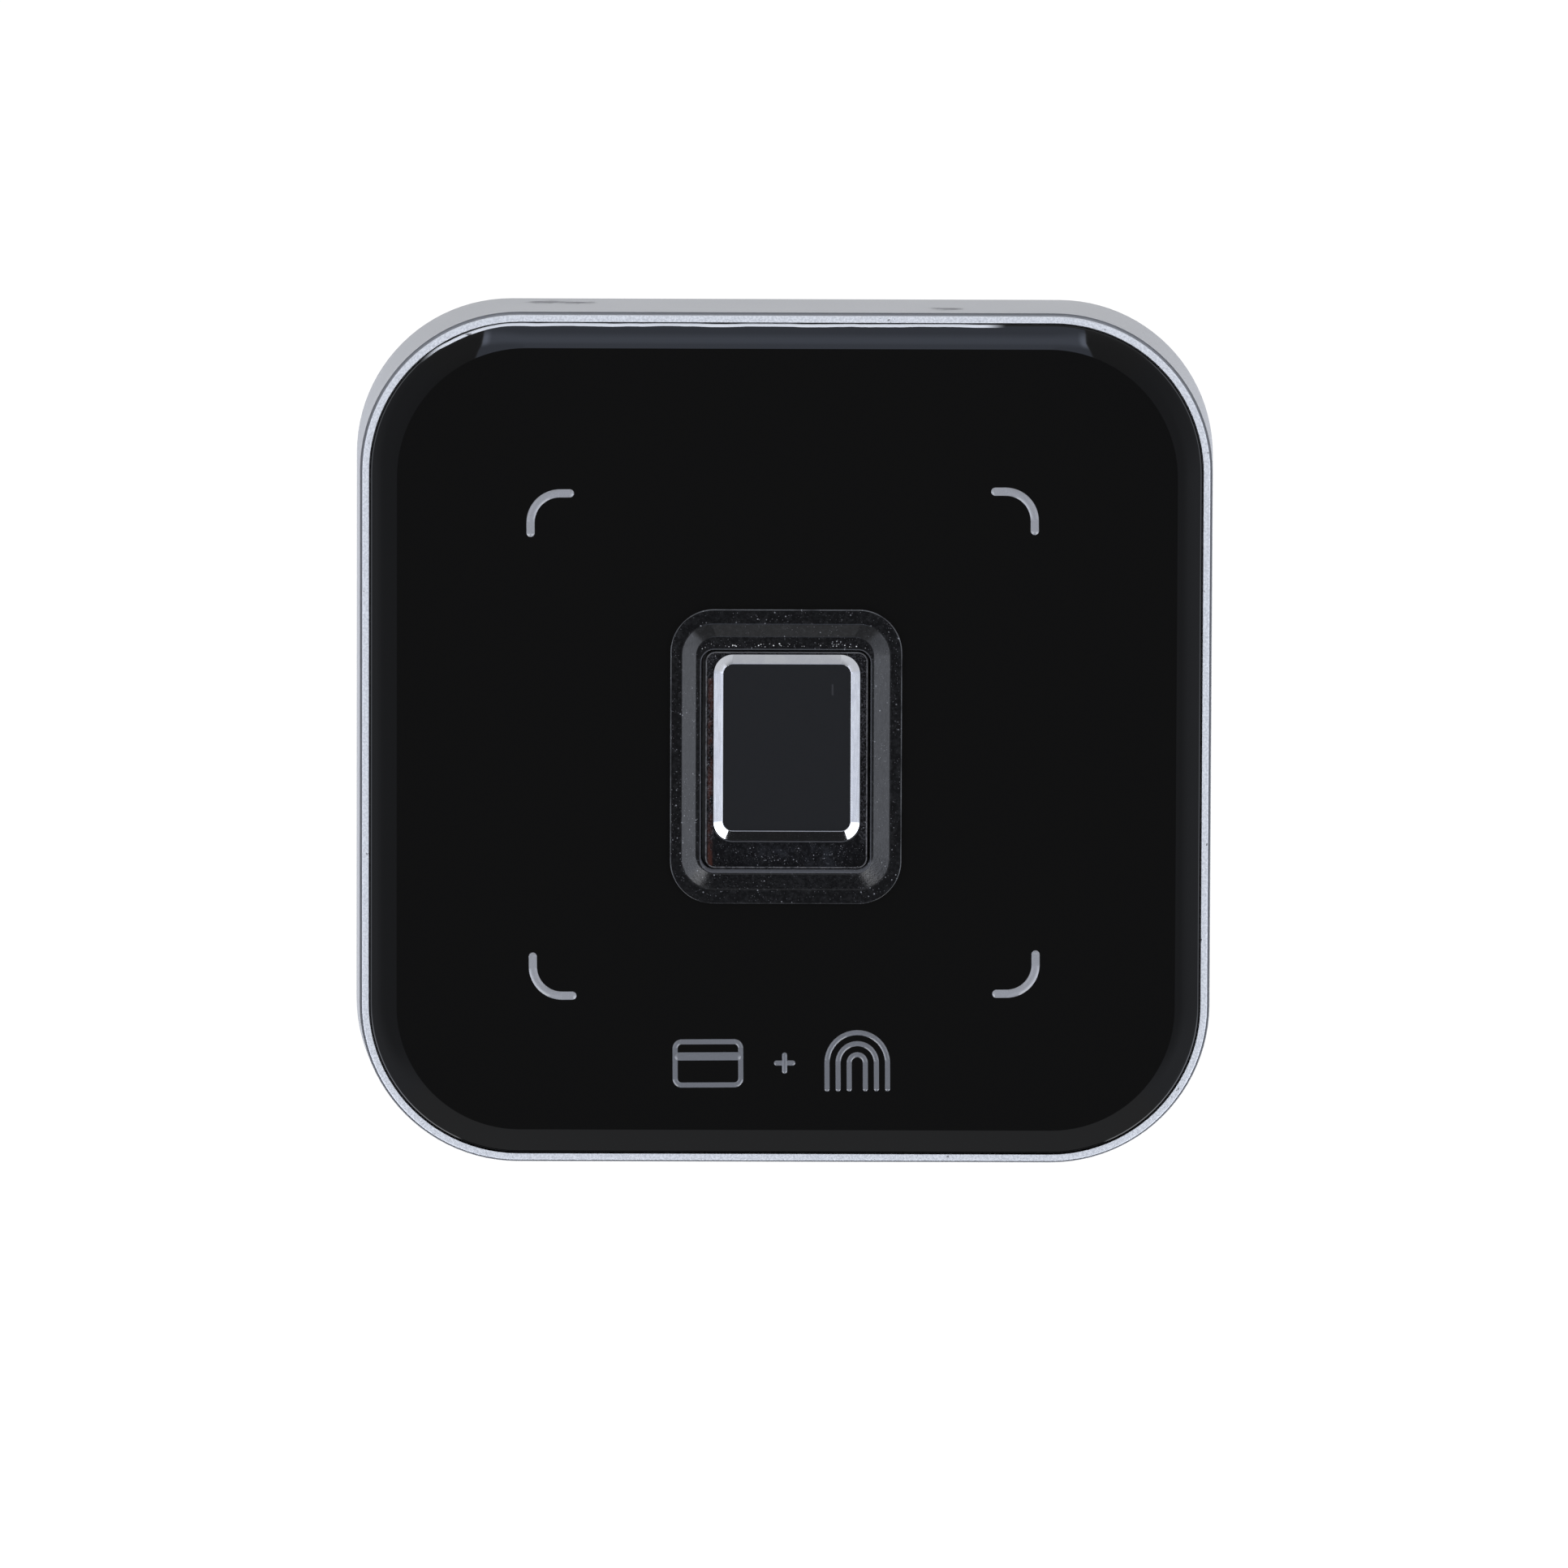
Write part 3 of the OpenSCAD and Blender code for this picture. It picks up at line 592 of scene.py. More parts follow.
def carrier_plastic():
    """Glossy black plastic with dust, a light line along its edge that is uneven in strength and solid
    along the top, and a light speckled arc under the sensor.
    """
    base = (0.004, 0.004, 0.005)
    paint = Paint("carrier_gloss_black", base, 0.12)
    colour, cover = dust(paint, base, 0.6, 11.0, fine=0.34)
    # A light speckled arc under the sensor.
    bend = paint.times(paint.math("POWER", paint.axis("X"), 2), 0.035)
    arc = paint.math("SUBTRACT", paint.axis("Z"), paint.math("ADD", bend, -11.9))
    trace = paint.times(paint.line(arc, 0, 0.05, 0.5), paint.span(paint.axis("Z"), -11.1, -10.6, 1, 0),
                        paint.span(paint.cells(0.2, 13.0), 0.2, 0.4, 1, 0),
                        paint.span(paint.noise(0.5, 4, 0.8, seed=13.0), 0.44, 0.58))
    colour = paint.mix(paint.times(trace, 0.6), colour, (0.40, 0.41, 0.44))
    film = paint.times(paint.patch((1, 0, -11.8), (3.5, None, 0.4), 1.6),
                       paint.span(paint.noise(1.2, 4, 0.7, seed=14.0), 0.4, 0.7))
    colour = paint.mix(paint.times(film, 0.045), colour, (0.28, 0.31, 0.38))
    left = paint.times(paint.patch((-7.45, 0, -3.2), (0.12, None, 9.2), 0.22),
                       paint.span(paint.noise(0.9, 4, 0.7, scale=(1, 1, 0.4), seed=15.0), 0.40, 0.6))
    colour = paint.mix(paint.times(left, 0.55), colour, (0.10, 0.035, 0.025))
    # A light line just inside the edge, uneven in strength and solid along the top.
    edge = paint.rim_distance(*CARRIER)
    beads = paint.span(paint.noise(0.3, 3, 0.7, seed=17.0), 0.32, 0.62, 0.25, 1.0)
    beads = paint.math("MAXIMUM", beads, paint.span(paint.axis("Z"), 7.9, 8.3))
    line = paint.times(paint.line(edge, -0.07, 0.05, 0.04), beads)
    colour = paint.mix(line, colour, (0.22, 0.22, 0.235))
    ring = paint.rim_distance(RING_W, RING_H, RING_R, RING_AT)
    foot = paint.times(paint.line(ring, 0.10, 0.05, 0.05), paint.span(paint.axis("Z"), -9.2, -8.8, 1, 0))
    colour = paint.mix(paint.times(foot, 0.5), colour, (0.14, 0.14, 0.15))
    band = paint.times(paint.line(edge, -0.45, 0.25, 0.3), paint.span(paint.axis("Z"), -11, -9, 0, 1),
                       paint.span(paint.noise(0.18, 3, 0.8, seed=18.0), 0.45, 0.7))
    colour = paint.mix(paint.times(band, 0.30), colour, (0.28, 0.28, 0.32))
    dots = paint.times(paint.line(edge, -0.42, 0.12, 0.06), paint.span(paint.axis("Z"), -9.5, -8.5),
                       paint.span(paint.cells(0.36, 31.0), 0.10, 0.20, 0.8, 0),
                       paint.span(paint.noise(1.6, 3, 0.7, seed=32.0), 0.36, 0.5))
    colour = paint.mix(dots, colour, (0.50, 0.50, 0.52))
    paint.link(colour, "Base Color")
    paint.link(paint.math("ADD", paint.times(cover, 0.5), 0.1), "Roughness")
    return paint.material


def ring_metal():
    """Bright polished metal with a fine brushed line."""
    paint = Paint("ring_bright_metal", (0.83, 0.84, 0.87), 0.1, metallic=1.0)
    line = paint.noise(0.07, 2, scale=(1, 1, 0.06), seed=2.0)
    paint.link(paint.span(line, 0.35, 0.65, 0.07, 0.13), "Roughness")
    tint = paint.span(paint.noise(1.5, 3, seed=3.0), 0.35, 0.65)
    paint.link(paint.mix(tint, (0.80, 0.81, 0.85), (0.87, 0.88, 0.90)), "Base Color")
    return paint.material


def window_coating():
    """Matte dark grey touch face with a barely visible tooth and one faint scratch."""
    base = (0.0052, 0.0056, 0.0068)
    paint = Paint("sensor_coating", base, 0.5, ior=1.42)
    tooth = paint.noise(0.09, 2)
    darker = tuple(c * 0.92 for c in base)
    lighter = tuple(c * 1.08 for c in base)
    colour = paint.mix(paint.span(tooth, 0.3, 0.7), darker, lighter)
    speck = paint.span(paint.cells(2.6, 7.0), 0.02, 0.035, 1, 0)
    colour = paint.mix(paint.times(speck, 0.25), colour, (0.12, 0.12, 0.13))
    mark = paint.patch((4.6, 0, 5.1), (0.05, None, 0.5), 0.08)
    colour = paint.mix(paint.times(mark, 0.2), colour, (0.09, 0.09, 0.10))
    paint.link(colour, "Base Color")
    paint.link(paint.span(tooth, 0.3, 0.7, 0.46, 0.56), "Roughness")
    paint.bump(tooth, 0.002)
    return paint.material


def sheet_steel():
    """Zinc plated sheet: soft spangles and rolling lines."""
    paint = Paint("zinc_plated_sheet", (0.60, 0.61, 0.63), 0.36, metallic=1.0)
    spangle = paint.noise(2.2, 2, 0.4, seed=2.0)
    lines = paint.noise(0.25, 3, scale=(0.06, 1, 1), seed=3.0)
    colour = paint.mix(paint.span(spangle, 0.35, 0.65), (0.55, 0.56, 0.585), (0.65, 0.66, 0.68))
    paint.link(colour, "Base Color")
    paint.link(paint.span(lines, 0.3, 0.7, 0.28, 0.46), "Roughness")
    paint.bump(lines, 0.004)
    return paint.material


def brushed(name, colour, roughness, size=0.12):
    """Bare metal with a fine uneven gloss."""
    paint = Paint(name, colour, roughness, metallic=1.0)
    grain = paint.noise(size, 3)
    paint.link(paint.span(grain, 0.3, 0.7, roughness * 0.7, roughness * 1.3), "Roughness")
    low = tuple(c * 0.88 for c in colour)
    tint = paint.span(paint.noise(size * 8, 2, seed=2.0), 0.35, 0.65)
    paint.link(paint.mix(tint, low, colour), "Base Color")
    return paint.material


def cover_plastic():
    """Black moulded plastic with a fine spark-eroded texture."""
    paint = Paint("cover_textured_black", (0.028, 0.028, 0.030), 0.5)
    texture = paint.noise(0.28, 3)
    colour = paint.mix(paint.span(texture, 0.35, 0.65), (0.022, 0.022, 0.024), (0.036, 0.036, 0.039))
    paint.link(colour, "Base Color")
    paint.link(paint.span(texture, 0.3, 0.7, 0.42, 0.6), "Roughness")
    paint.bump(texture, 0.03)
    return paint.material


def board_mask():
    """Green solder mask over faint copper tracks."""
    paint = Paint("green_solder_mask", (0.01, 0.10, 0.035), 0.28, coat=0.3)
    tracks = paint.span(paint.noise(1.6, 1, scale=(1, 1, 0.25), seed=5.0), 0.48, 0.52)
    paint.link(paint.mix(tracks, (0.008, 0.085, 0.03), (0.02, 0.15, 0.05)), "Base Color")
    paint.bump(tracks, 0.02)
    return paint.material


MATERIALS = {
    "shell": shell_paint(),
    "rim": rim_paint(),
    "step": groove_shade_paint(),
    "glass": glass_polish(),
    "marks": ink("mark_ink", (0.26, 0.265, 0.285)),
    "icons": ink("icon_ink", (0.125, 0.13, 0.145)),
    "bezel": bezel_plastic(),
    "carrier": carrier_plastic(),
    "ring": ring_metal(),
    "window": window_coating(),
    "sheet": sheet_steel(),
    "cover": cover_plastic(),
    "board": board_mask(),
    "screw": brushed("screw_nickel", (0.62, 0.62, 0.64), 0.3),
    "spring": brushed("spring_wire", (0.5, 0.5, 0.52), 0.3, 0.06),
    "can": brushed("drawn_can", (0.72, 0.73, 0.74), 0.28),
    "copper": brushed("etched_copper", (0.80, 0.40, 0.22), 0.35),
    "gold": brushed("gold_plate", (0.85, 0.62, 0.25), 0.25, 0.05),
    "seal": mottled("seal_rubber", (0.018, 0.018, 0.018), 0.75, 0.2, 0.15, 0.01),
    "tape": mottled("foam_tape", (0.06, 0.06, 0.062), 0.85, 0.15, 0.2, 0.02),
    "label": mottled("blank_label_film", (0.72, 0.72, 0.70), 0.45, 1.5, 0.03, 0.004),
    "chip": mottled("moulded_epoxy", (0.02, 0.02, 0.021), 0.5, 0.1, 0.15, 0.006),
    "ferrite": mottled("sintered_ferrite", (0.045, 0.045, 0.048), 0.6, 0.15, 0.2, 0.01),
    "flex": mottled("amber_polyimide", (0.45, 0.17, 0.02), 0.25, 0.8, 0.08, 0.004),
    "nylon": mottled("ivory_nylon", (0.62, 0.56, 0.44), 0.42, 0.5, 0.05, 0.006),
    "ceramic": mottled("ceramic_body", (0.33, 0.22, 0.11), 0.5, 0.2, 0.1, 0.004),
    "led": mottled("led_resin", (0.85, 0.80, 0.52), 0.3, 0.3, 0.05),
    "guide": mottled("frosted_acrylic", (0.72, 0.75, 0.77), 0.4, 0.4, 0.05),
    "buzzer": mottled("buzzer_case", (0.025, 0.025, 0.026), 0.45, 0.2, 0.1, 0.006),
    "acetal": mottled("white_acetal", (0.70, 0.70, 0.67), 0.4, 0.5, 0.04, 0.004),
}

CARRIED = {
    "rear_cover_seal": "seal", "frame_screws": "screw", "glass_tape": "tape",
    "sensor_gasket": "seal", "sensor_chip": "chip", "sensor_retainer": "sheet",
    "retainer_screws": "screw", "sensor_flex": "flex", "sensor_connector": "nylon",
    "main_board": "board", "board_screws": "screw", "antenna_board": "board",
    "antenna_coil": "copper", "antenna_pins": "gold", "ferrite_sheet": "ferrite",
    "main_processor": "chip", "memory_chip": "chip", "card_reader_chip": "chip",
    "interface_chip": "chip", "crystal": "can", "power_inductor": "ferrite",
    "power_capacitors": "can", "small_components": "ceramic", "status_leds": "led",
    "light_guide": "guide", "buzzer": "buzzer", "connector_pins": "gold",
    "tamper_switch": "chip", "tamper_spring": "spring",
}


def paint_carried_nodes():
    """Gives the pieces that stay as in the CAD model their materials."""
    for node, material in CARRIED.items():
        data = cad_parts[node].data
        data.materials.clear()
        data.materials.append(MATERIALS[material])


# ---------------------------------------------------------------- the reader's visible pieces

def shell():
    """Painted shell: drafted sides, soft front edge, and the lock screw's slot underneath."""
    rear_r = 15.5
    wall = 0.09
    lip = SHELL_EDGE - wall
    lip_r = SHELL_EDGE_R - wall
    groove = 0.3
    cavity = 40.5
    cavity_r = 14.0
    half = (SHELL_W + SHELL_EDGE) / 2
    half_r = (rear_r + SHELL_EDGE_R) / 2
    half_depth = (SHELL_REAR + SHELL_FRONT) / 2
    piece = lofted("painted_shell", [
        (SHELL_W, SHELL_W, rear_r, MIDDLE, SHELL_REAR, 0.2),
        (half, half, half_r, MIDDLE, half_depth, 0),
        (SHELL_EDGE, SHELL_EDGE, SHELL_EDGE_R, MIDDLE, SHELL_FRONT, 0.10),
        (lip, lip, lip_r, MIDDLE, SHELL_FRONT - 0.05, 0.03),
        (lip, lip, lip_r, MIDDLE, SHELL_FRONT - groove, 0.03),
        (cavity, cavity, cavity_r, MIDDLE, SHELL_FRONT - groove, 0.1),
        (cavity, cavity, cavity_r, MIDDLE, SHELL_REAR, 0.2),
    ], MATERIALS["shell"], ["main_housing"])
    for name, radius, top in (("slot", 1.6, -38), ("seat", 2.7, -41.4)):
        cut_slot(piece, name, radius, top)


def cut_slot(piece, name, radius, top):
    """Cuts a slot that is open to the wall into the shell's lower side, round the lock screw."""
    screw_depth = 2.9
    bottom = -45
    steps = 24
    mesh = bmesh.new()
    rim_line = [(-radius, 2.0), (radius, 2.0)]
    for i in range(steps + 1):
        angle = math.pi * i / steps
        rim_line.append((radius * math.cos(angle), -screw_depth - radius * math.sin(angle)))
    low = [mesh.verts.new((x * MM, y * MM, bottom * MM)) for x, y in rim_line]
    high = [mesh.verts.new((x * MM, y * MM, top * MM)) for x, y in rim_line]
    mesh.faces.new(low)
    mesh.faces.new(high[::-1])
    for i in range(len(low)):
        j = (i + 1) % len(low)
        mesh.faces.new((low[j], low[i], high[i], high[j]))
    bmesh.ops.recalc_face_normals(mesh, faces=mesh.faces)
    data = bpy.data.meshes.new(name)
    mesh.to_mesh(data)
    mesh.free()
    cutter = bpy.data.objects.new(name, data)
    bpy.context.scene.collection.objects.link(cutter)
    cut = piece.modifiers.new(name, "BOOLEAN")
    cut.operation = "DIFFERENCE"
    cut.solver = "EXACT"
    cut.object = cutter
    piece.modifiers.move(len(piece.modifiers) - 1, 0)
    bpy.context.view_layer.objects.active = piece
    bpy.ops.object.modifier_apply(modifier=name)
    bpy.data.objects.remove(cutter)


def passage(depth, soft):
    """Where the sensor frame's neck goes through."""
    return (10.0, 13.2, 2.4, (0, BEZEL_Z), depth, soft)


def rim():
    """Front frame: silver rim, the step under it, the floor that carries the glass."""
    width = 0.65
    pocket = RIM_W - width
    pocket_r = 14.85
    seat = GLASS_REAR - 0.2
    spigot = 40.35
    spigot_r = 13.8
    rim_rear = SHELL_FRONT + 0.6
    lofted("front_frame_painted", [
        (pocket, pocket, pocket_r, MIDDLE, RIM_FRONT, 0.06),
        (RIM_W, RIM_W, RIM_R, MIDDLE, RIM_FRONT, 0.16),
        (RIM_W, RIM_W, RIM_R, MIDDLE, rim_rear, 0.05),
        (spigot, spigot, spigot_r, MIDDLE, rim_rear, 0),
        (spigot, spigot, spigot_r, MIDDLE, FLOOR_REAR + 1.4, 0.1),
        passage(FLOOR_REAR + 1.4, 0.1),
        passage(seat, 0.1),
        (pocket, pocket, pocket_r, MIDDLE, seat, 0.05),
    ], MATERIALS["rim"], ["front_frame"])
    outer = (RIM_W - 0.15, RIM_W - 0.15, RIM_R - 0.1, MIDDLE)
    inner = (spigot - 0.02, spigot - 0.02, spigot_r - 0.05, MIDDLE)
    step_front = rim_rear + 0.02
    step_rear = SHELL_FRONT - 0.27
    # The step's darker grey is painted shade for the groove between shell and rim.
    lofted("front_frame_step", [
        (*outer, step_front, 0.02),
        (*outer, step_rear, 0.02),
        (*inner, step_rear, 0.02),
        (*inner, step_front, 0.02),
    ], MATERIALS["step"])


def glass():
    """Polished glass with a narrow arris, a wide bevel and a crisp inner edge."""
    arris = 0.16
    flat_middle = (GLASS_SHIFT, -0.06)
    lofted("bevelled_glass", [
        (GLASS_W, GLASS_W, GLASS_R, MIDDLE, GLASS_REAR, 0.05),
        (GLASS_W, GLASS_W, GLASS_R, MIDDLE, 19.45, 0.06),
        (GLASS_W - arris, GLASS_W - arris, GLASS_R - arris, MIDDLE, 19.58, 0.08),
        (40.15, 40.18, (14.05, 13.8), MIDDLE, 19.90, 0.5),
        (39.35, 39.45, (13.4, 13.0), (GLASS_SHIFT / 2, -0.03), 20.17, 0.5),
        (38.55, 38.72, (12.75, 12.2), flat_middle, GLASS_FRONT, 0.04),
        passage(GLASS_FRONT, 0.1),
        passage(GLASS_REAR, 0.05),
    ], MATERIALS["glass"], ["front_glass"])


def print_on_glass(mesh):
    """Turns a print a hair round the middle of the face and shifts it, as the real one sits."""
    turn = Matrix.Rotation(-PRINT_TURN, 4, "Y")
    shift = Matrix.Translation((PRINT_SHIFT * MM, 0, 0))
    bmesh.ops.transform(mesh, matrix=shift @ turn, verts=mesh.verts)


def marks():
    """Four printed corner arcs that show where a card is held."""
    stroke = 0.8
    radius = 2.9
    run = 1.0
    edge_x = MARKS_W - stroke / 2
    edge_z = MARKS_H - stroke / 2
    mesh = bmesh.new()
    for turn in range(4):
        sx = 1 if turn in (0, 3) else -1
        sz = 1 if turn in (0, 1) else -1
        corner = arc_points((edge_x - radius, edge_z - radius), radius, 90, 0, 16)
        start = Vector((edge_x - radius - run, edge_z))
        stop = Vector((edge_x, edge_z - radius - run))
        line = [start] + corner + [stop]
        line = [Vector((sx * p.x, sz * p.y + MARKS_Z)) for p in line]
        add_stroke(mesh, line, stroke, GLASS_FRONT + PRINT_RAISED)
    print_on_glass(mesh)
    finish_mesh("card_marks_print", mesh, MATERIALS["marks"], READER, ["card_area_marks"])


def icons():
    """Generic pictograms: a card, a plus and a finger tip."""
    mesh = bmesh.new()
    line = 0.5
    row = -32.1
    depth = GLASS_FRONT + PRINT_RAISED
    above = depth + 0.002

    card_x = -7.6
    card = []
    for quarter, (sx, sz) in enumerate([(1, 1), (-1, 1), (-1, -1), (1, -1)]):
        corner = (card_x + sx * 2.6, row + sz * 1.5)
        card += arc_points(corner, 0.65, 90 * quarter, 90 * quarter + 90, 8)
    add_stroke(mesh, card, line, depth, loop=True)
    stripe_half = 2.9
    stripe_z = row + 0.7
    stripe = [Vector((card_x - stripe_half, stripe_z)), Vector((card_x + stripe_half, stripe_z))]
    add_stroke(mesh, stripe, 0.8, above)

    plus_half = 0.8
    level = [Vector((-plus_half, row)), Vector((plus_half, row))]
    upright = [Vector((0, row - plus_half)), Vector((0, row + plus_half))]
    add_stroke(mesh, level, line, depth)
    add_stroke(mesh, upright, line, above)

    finger_x = 7.2
    foot = row - 2.6
    for radius in (0.8, 1.9, 3.0):
        arch = [Vector((finger_x + radius, foot))]
        arch += arc_points((finger_x, row), radius, 0, 180, 20)
        arch += [Vector((finger_x - radius, foot))]
        add_stroke(mesh, arch, line, depth)

    print_on_glass(mesh)
    finish_mesh("pictogram_print", mesh, MATERIALS["icons"], READER, ["function_icons"])


def bezel():
    """Raised sensor frame: a flat flange, an outward slope, a crest and a lip that falls inwards."""
    neck = (9.85, 13.05, 2.25, (0, BEZEL_Z))
    flange = (BEZEL_W, BEZEL_H, BEZEL_R, BEZEL_AT)
    well = (8.35, 10.88, 1.25, (0, -1.88))
    base = GLASS_FRONT + 0.3
    sunk = 0.02
    lofted("sensor_frame_satin", [
        (*neck, NECK_REAR, 0.05),
        (*neck, GLASS_FRONT - sunk, 0),
        (*flange, GLASS_FRONT - sunk, 0),
        (*flange, base, 0.08),
        (10.335, 13.16, 3.1, (0.025, -1.65), base, 0.12),
        (8.77, 11.77, 1.95, (-0.1, -1.5), CREST - 0.04, 0.07),
        (8.52, 11.2, 1.4, (-0.02, -1.95), CREST, 0.05),
        (*LIP, CREST - 0.02, 0.04),
        (*well, CREST - 0.3, 0.05),
        (*well, NECK_REAR, 0.05),
    ], MATERIALS["bezel"], ["sensor_frame"])


def sensor():
    """Carrier plate, chamfered ring and touch window."""
    carrier_rear = 16.0
    carrier_top = 20.6
    seat = (RING_W - 0.1, RING_H - 0.1, RING_R - 0.1, RING_AT)
    well = (5.0, 6.0, 0.5, RING_AT)
    lofted("sensor_carrier_gloss", [
        (*CARRIER, carrier_rear, 0.05),
        (*CARRIER, carrier_top, 0.10),
        (*seat, carrier_top, 0.02),
        (*seat, RING_REAR, 0.02),
        (*well, RING_REAR - 0.5, 0.02),
        (*well, carrier_rear, 0.02),
    ], MATERIALS["carrier"], ["sensor_carrier"])
    slope_depth = 0.62
    window_at = (SENSOR_X, RING_Z + 0.05)
    inner = (RING_W - 0.91, RING_H - 0.97, 1.0, window_at)
    hole = (RING_W - 0.95, RING_H - 1.01, 0.96, window_at)
    lofted("sensor_ring_chamfered", [
        (RING_W, RING_H, RING_R, RING_AT, RING_REAR, 0.02),
        (RING_W, RING_H, RING_R, RING_AT, RING_FRONT - slope_depth, 0.05),
        (*inner, RING_FRONT, 0.05),
        (*hole, RING_FRONT - 0.02, 0.01),
        (*hole, RING_REAR, 0.02),
    ], MATERIALS["ring"], ["sensor_ring"])
    half_w = RING_W - 0.94
    half_h = RING_H - 1.0
    corner = 0.97
    inset = 0.5
    lofted("sensor_touch_window", [
        (half_w, half_h, corner, window_at, WINDOW_REAR, 0),
        (half_w, half_h, corner, window_at, WINDOW_FRONT, 0.05),
        (half_w - inset, half_h - inset, corner - inset, window_at, WINDOW_FRONT, 0),
    ], MATERIALS["window"], ["sensor_window"], closed=False)


def rear_pieces():
    """The pieces that show from behind, with their edges rounded."""
    rounded_copy("wall_bracket", MATERIALS["sheet"], BRACKET, 0.15)
    rounded_copy("lock_screw", MATERIALS["screw"], BRACKET, 0.12)
    rounded_copy("rear_cover", MATERIALS["cover"], READER, 0.12, merged=False)
    rounded_copy("rear_cover_screws", MATERIALS["screw"], READER, 0.12)
    rounded_copy("rating_label", MATERIALS["label"], READER, 0.02)
    rounded_copy("wiring_connector", MATERIALS["nylon"], READER, 0.1)
    rounded_copy("tamper_plunger", MATERIALS["acetal"], "tamper", 0.2)


# ---------------------------------------------------------------- studio

def world_light():
    """A soft studio as a function of direction: dark ahead, a strip light above the lens, large
    softboxes at both sides, small strong ones low at the sides, and nothing below."""
    world = bpy.data.worlds.new("studio")
    bpy.context.scene.world = world
    world.use_nodes = True
    nodes = world.node_tree.nodes
    links = world.node_tree.links
    nodes.clear()
    f = Formula(world.node_tree)

    place = nodes.new("ShaderNodeTexCoord")
    split = nodes.new("ShaderNodeSeparateXYZ")
    links.new(place.outputs["Generated"], split.inputs[0])
    x, y, z = (split.outputs[k] for k in "XYZ")

    # Where a direction points: theta is its angle from straight ahead in degrees, side and rise
    # are its share across and upwards, and across and up are slopes, as on a wall ahead.
    front = f.times(y, -1)
    ahead = f.math("MAXIMUM", front, 0.05)
    radius = f.math("SQRT", f.math("ADD", f.times(x, x), f.times(z, z)))
    theta = f.times(f.math("ARCTAN2", radius, front), math.degrees(1))
    reach = f.math("MAXIMUM", radius, 0.001)
    side = f.math("DIVIDE", f.math("ABSOLUTE", x), reach)
    rise = f.math("DIVIDE", z, reach)
    across = f.math("ABSOLUTE", f.math("DIVIDE", x, ahead))
    up = f.math("DIVIDE", z, ahead)

    # The room: dim ahead, brighter all round.
    light = f.math("ADD", f.span(theta, 8, 36, 0.07, 0.20), f.span(theta, 36, 47, 0.0, 0.2))
    light = f.toward(light, f.span(theta, 60, 67, 0.22, 0.62), f.span(theta, 50, 60))

    # Softboxes at both sides, whose lower ends don't reach as far forward as their upper ends.
    mitre = f.math("MAXIMUM", f.span(rise, 0.08, 0.2, 1.0, 0.0), f.span(theta, 62, 66, 1.0, 0.0))
    sideways = f.times(f.span(side, 0.62, 0.78), mitre)
    softbox = f.math("ADD", f.span(theta, 46, 56, 0.3, 2.15), f.span(theta, 62, 69, 0.0, -1.52))
    light = f.toward(light, softbox, sideways, f.span(theta, 46, 52))

    # Strong lamps low at the sides, which widen upwards further round.
    lamp = f.times(f.span(rise, -0.72, -0.5, 1.0, 0.0), f.span(theta, 52, 58))
    high_lamp = f.times(f.span(rise, -0.30, -0.08, 1.0, 0.0), f.span(theta, 63, 68))
    lamp = f.math("MAXIMUM", lamp, high_lamp)
    light = f.toward(light, 3.6, lamp, f.span(theta, 96, 108, 1.0, 0.0))

    # Straight below it is dark, and the table edge in front of that is grey.
    below = f.times(f.span(rise, -0.935, -0.915, 1.0, 0.0), f.span(theta, 52, 57))
    light = f.toward(light, 0.012, below)
    low = f.times(f.span(rise, -0.75, -0.4, 1.0, 0.0), f.span(theta, 30, 40, 0.5, 1.0))
    light = f.toward(light, 0.36, low, f.span(theta, 52, 57, 1.0, 0.0), f.span(theta, 14, 32))

    # The strip light above the lens, with a brighter tube along it.
    strip = f.times(f.span(across, 0.235, 0.245, 1.0, 0.0),
                    f.span(up, 0.44, 0.46), f.span(up, 1.0, 1.1, 1.0, 0.0))
    tube = f.times(f.span(up, 0.58, 0.68), f.span(up, 0.72, 0.84, 1.0, 0.0))
    glow = f.times(tube, f.span(across, 0.19, 0.225, 0.42, 1.6))
    light = f.toward(light, f.math("ADD", glow, 0.80), strip, f.span(front, 0.1, 0.2))

    colour = nodes.new("ShaderNodeMix")
    colour.data_type = "RGBA"
    colour.inputs[6].default_value = (0.965, 0.985, 1.03, 1)
    colour.inputs[7].default_value = (0.85, 0.95, 1.2, 1)
    links.new(f.math("MAXIMUM", strip, f.times(sideways, 0.35)), colour.inputs[0])
    studio = nodes.new("ShaderNodeBackground")
    links.new(colour.outputs[2], studio.inputs["Color"])
    links.new(light, studio.inputs["Strength"])
    backdrop = nodes.new("ShaderNodeBackground")
    backdrop.inputs["Color"].default_value = (1, 1, 1, 1)
    backdrop.inputs["Strength"].default_value = 1.05
    rays = nodes.new("ShaderNodeLightPath")
    choose = nodes.new("ShaderNodeMixShader")
    links.new(rays.outputs["Is Camera Ray"], choose.inputs[0])
    links.new(studio.outputs[0], choose.inputs[1])
    links.new(backdrop.outputs[0], choose.inputs[2])
    out = nodes.new("ShaderNodeOutputWorld")
    links.new(choose.outputs[0], out.inputs["Surface"])


def area_light(name, place, size, power):
    """A lamp that only fills in matte faces, aimed at the object."""
    data = bpy.data.lights.new(name, "AREA")
    data.shape = "RECTANGLE"
    data.size, data.size_y = size
    data.energy = power
    data.color = (0.98, 0.99, 1.0)
    lamp = bpy.data.objects.new(name, data)
    bpy.context.scene.collection.objects.link(lamp)
    lamp.location = place
    lamp.rotation_euler = (-Vector(place)).to_track_quat("-Z", "Y").to_euler()
    lamp.visible_glossy = False
    lamp.visible_camera = False


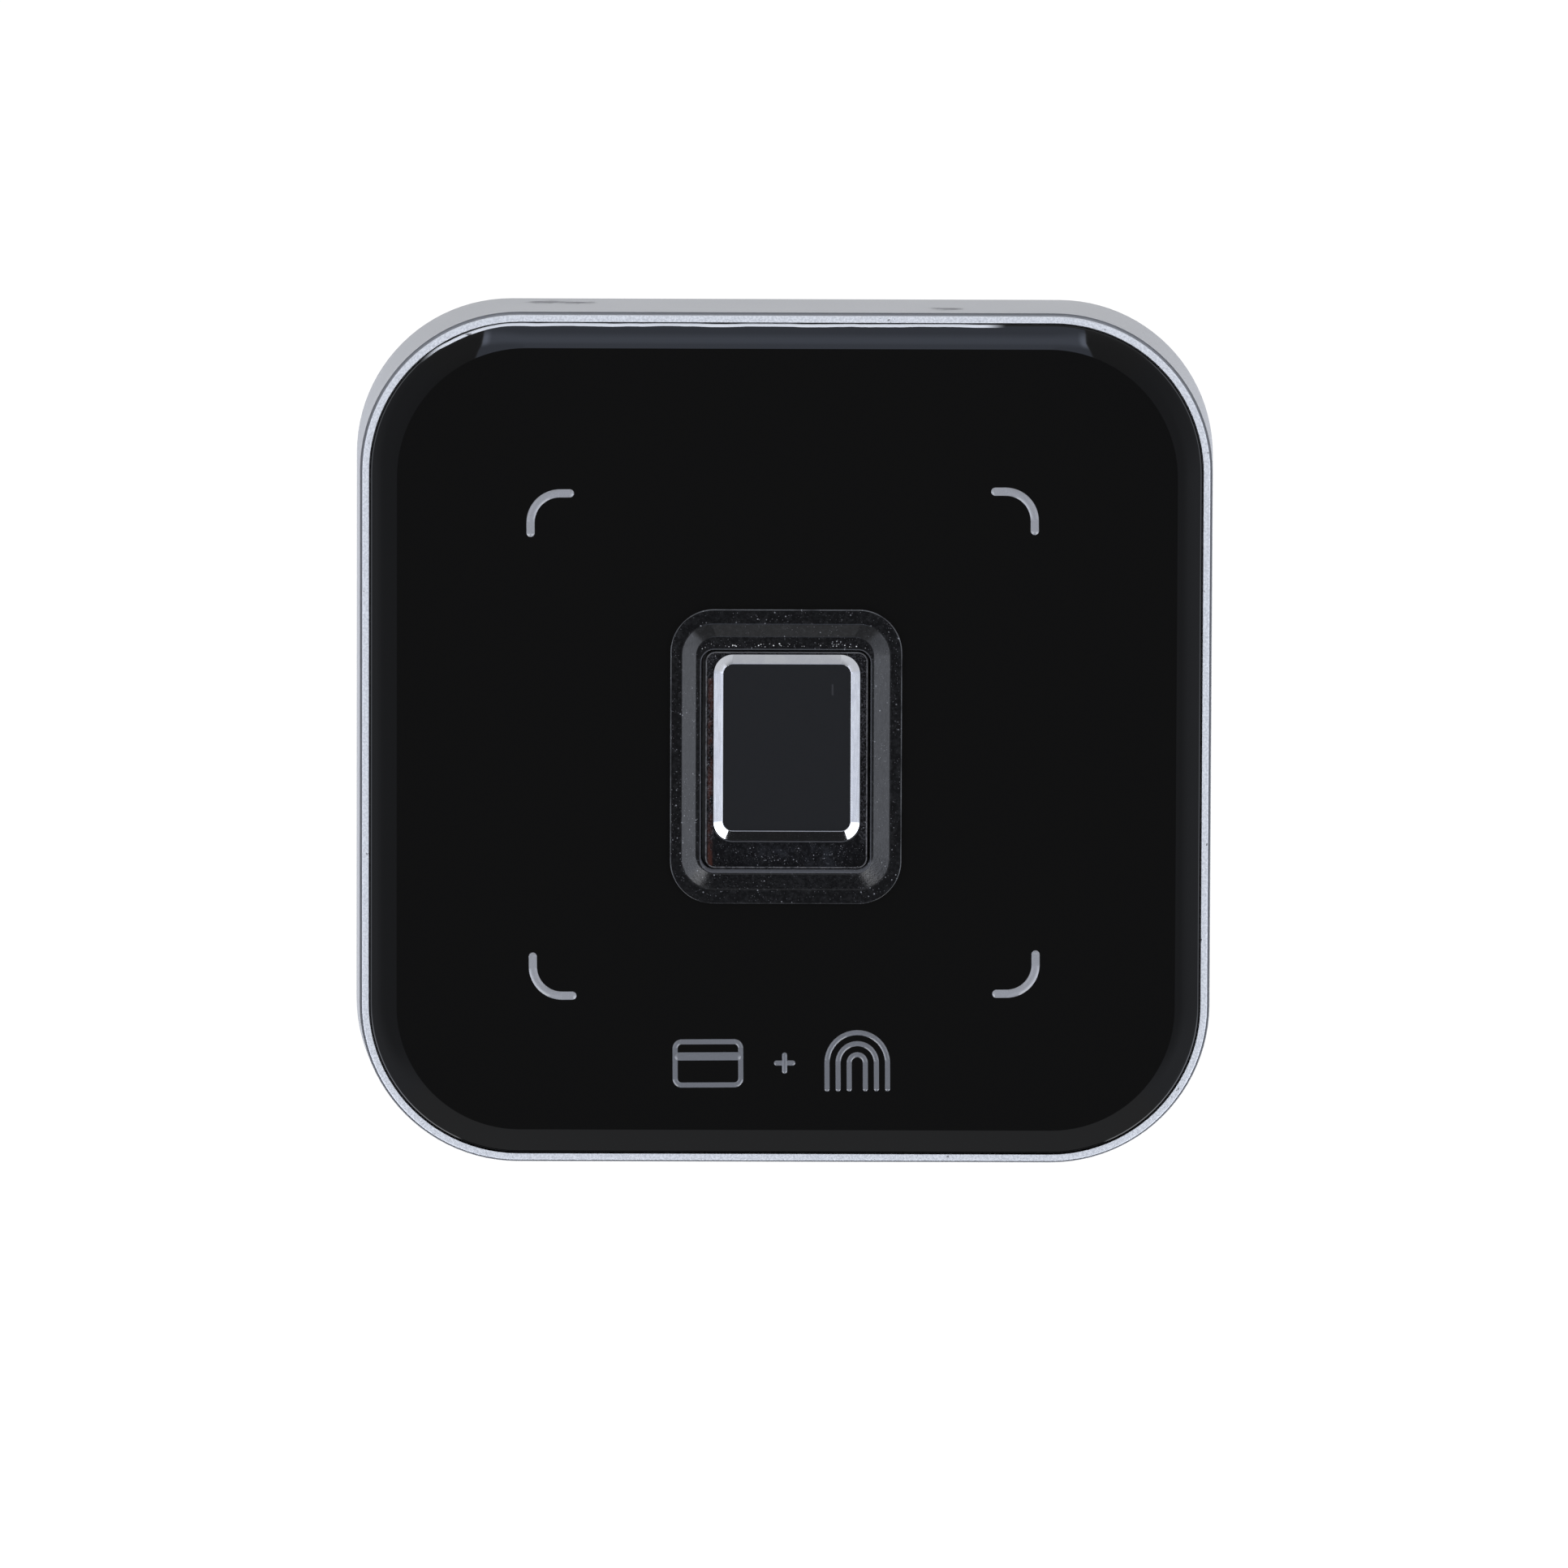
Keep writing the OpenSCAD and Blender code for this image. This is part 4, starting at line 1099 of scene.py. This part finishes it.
def floor():
    """A plain pale floor well below the object."""
    half = 12.0
    drop = 1.6
    mesh = bmesh.new()
    corners = [(-half, -half), (half, -half), (half, half), (-half, half)]
    mesh.faces.new([mesh.verts.new((x, y, CAD_BOX[0].z - drop)) for x, y in corners])
    data = bpy.data.meshes.new("pale_floor")
    mesh.to_mesh(data)
    mesh.free()
    ground = bpy.data.objects.new("pale_floor", data)
    bpy.context.scene.collection.objects.link(ground)
    material = bpy.data.materials.new("pale_floor")
    material.use_nodes = True
    shader = material.node_tree.nodes["Principled BSDF"]
    shader.inputs["Base Color"].default_value = (0.9, 0.9, 0.9, 1)
    shader.inputs["Roughness"].default_value = 0.9
    shader.inputs["Emission Color"].default_value = (1, 1, 1, 1)
    shader.inputs["Emission Strength"].default_value = 0.9
    data.materials.append(material)
    ground.visible_glossy = False
    ground.visible_diffuse = False
    ground.visible_shadow = False


def camera():
    """A long lens in front, a little above, that frames the object as a product picture does."""
    distance = 1.1
    frame_width = 0.1552
    elevation = math.radians(4.3)
    azimuth = math.radians(-0.5)
    roll = math.radians(0.2)
    rise = 0.00441
    across = 0.00016
    data = bpy.data.cameras.new("camera")
    data.sensor_width = 36
    data.lens = data.sensor_width * distance / frame_width
    data.clip_start = 0.01
    data.clip_end = 50
    cam = bpy.data.objects.new("camera", data)
    bpy.context.scene.collection.objects.link(cam)
    face = Vector((0, -RIM_FRONT * MM, 0))
    away = Vector((math.sin(azimuth) * math.cos(elevation), -math.cos(azimuth) * math.cos(elevation),
                   math.sin(elevation)))
    turn = (-away).to_track_quat("-Z", "Y").to_matrix().to_4x4() @ Matrix.Rotation(roll, 4, "Z")
    right = turn.col[0].xyz
    upward = turn.col[1].xyz
    aim = face - upward * rise - right * across
    cam.matrix_world = Matrix.Translation(aim + away * distance) @ turn
    bpy.context.scene.camera = cam


bpy.context.scene.view_settings.view_transform = "Standard"
bpy.context.scene.view_settings.look = "None"
camera()
world_light()
area_light("front_fill", (0, -1.6, 0.5), (1.2, 1.0), 12.3)
area_light("overhead", (0, -0.1, 0.9), (2.6, 0.8), 3.7)
floor()
shell()
rim()
glass()
marks()
icons()
bezel()
sensor()
rear_pieces()
paint_carried_nodes()
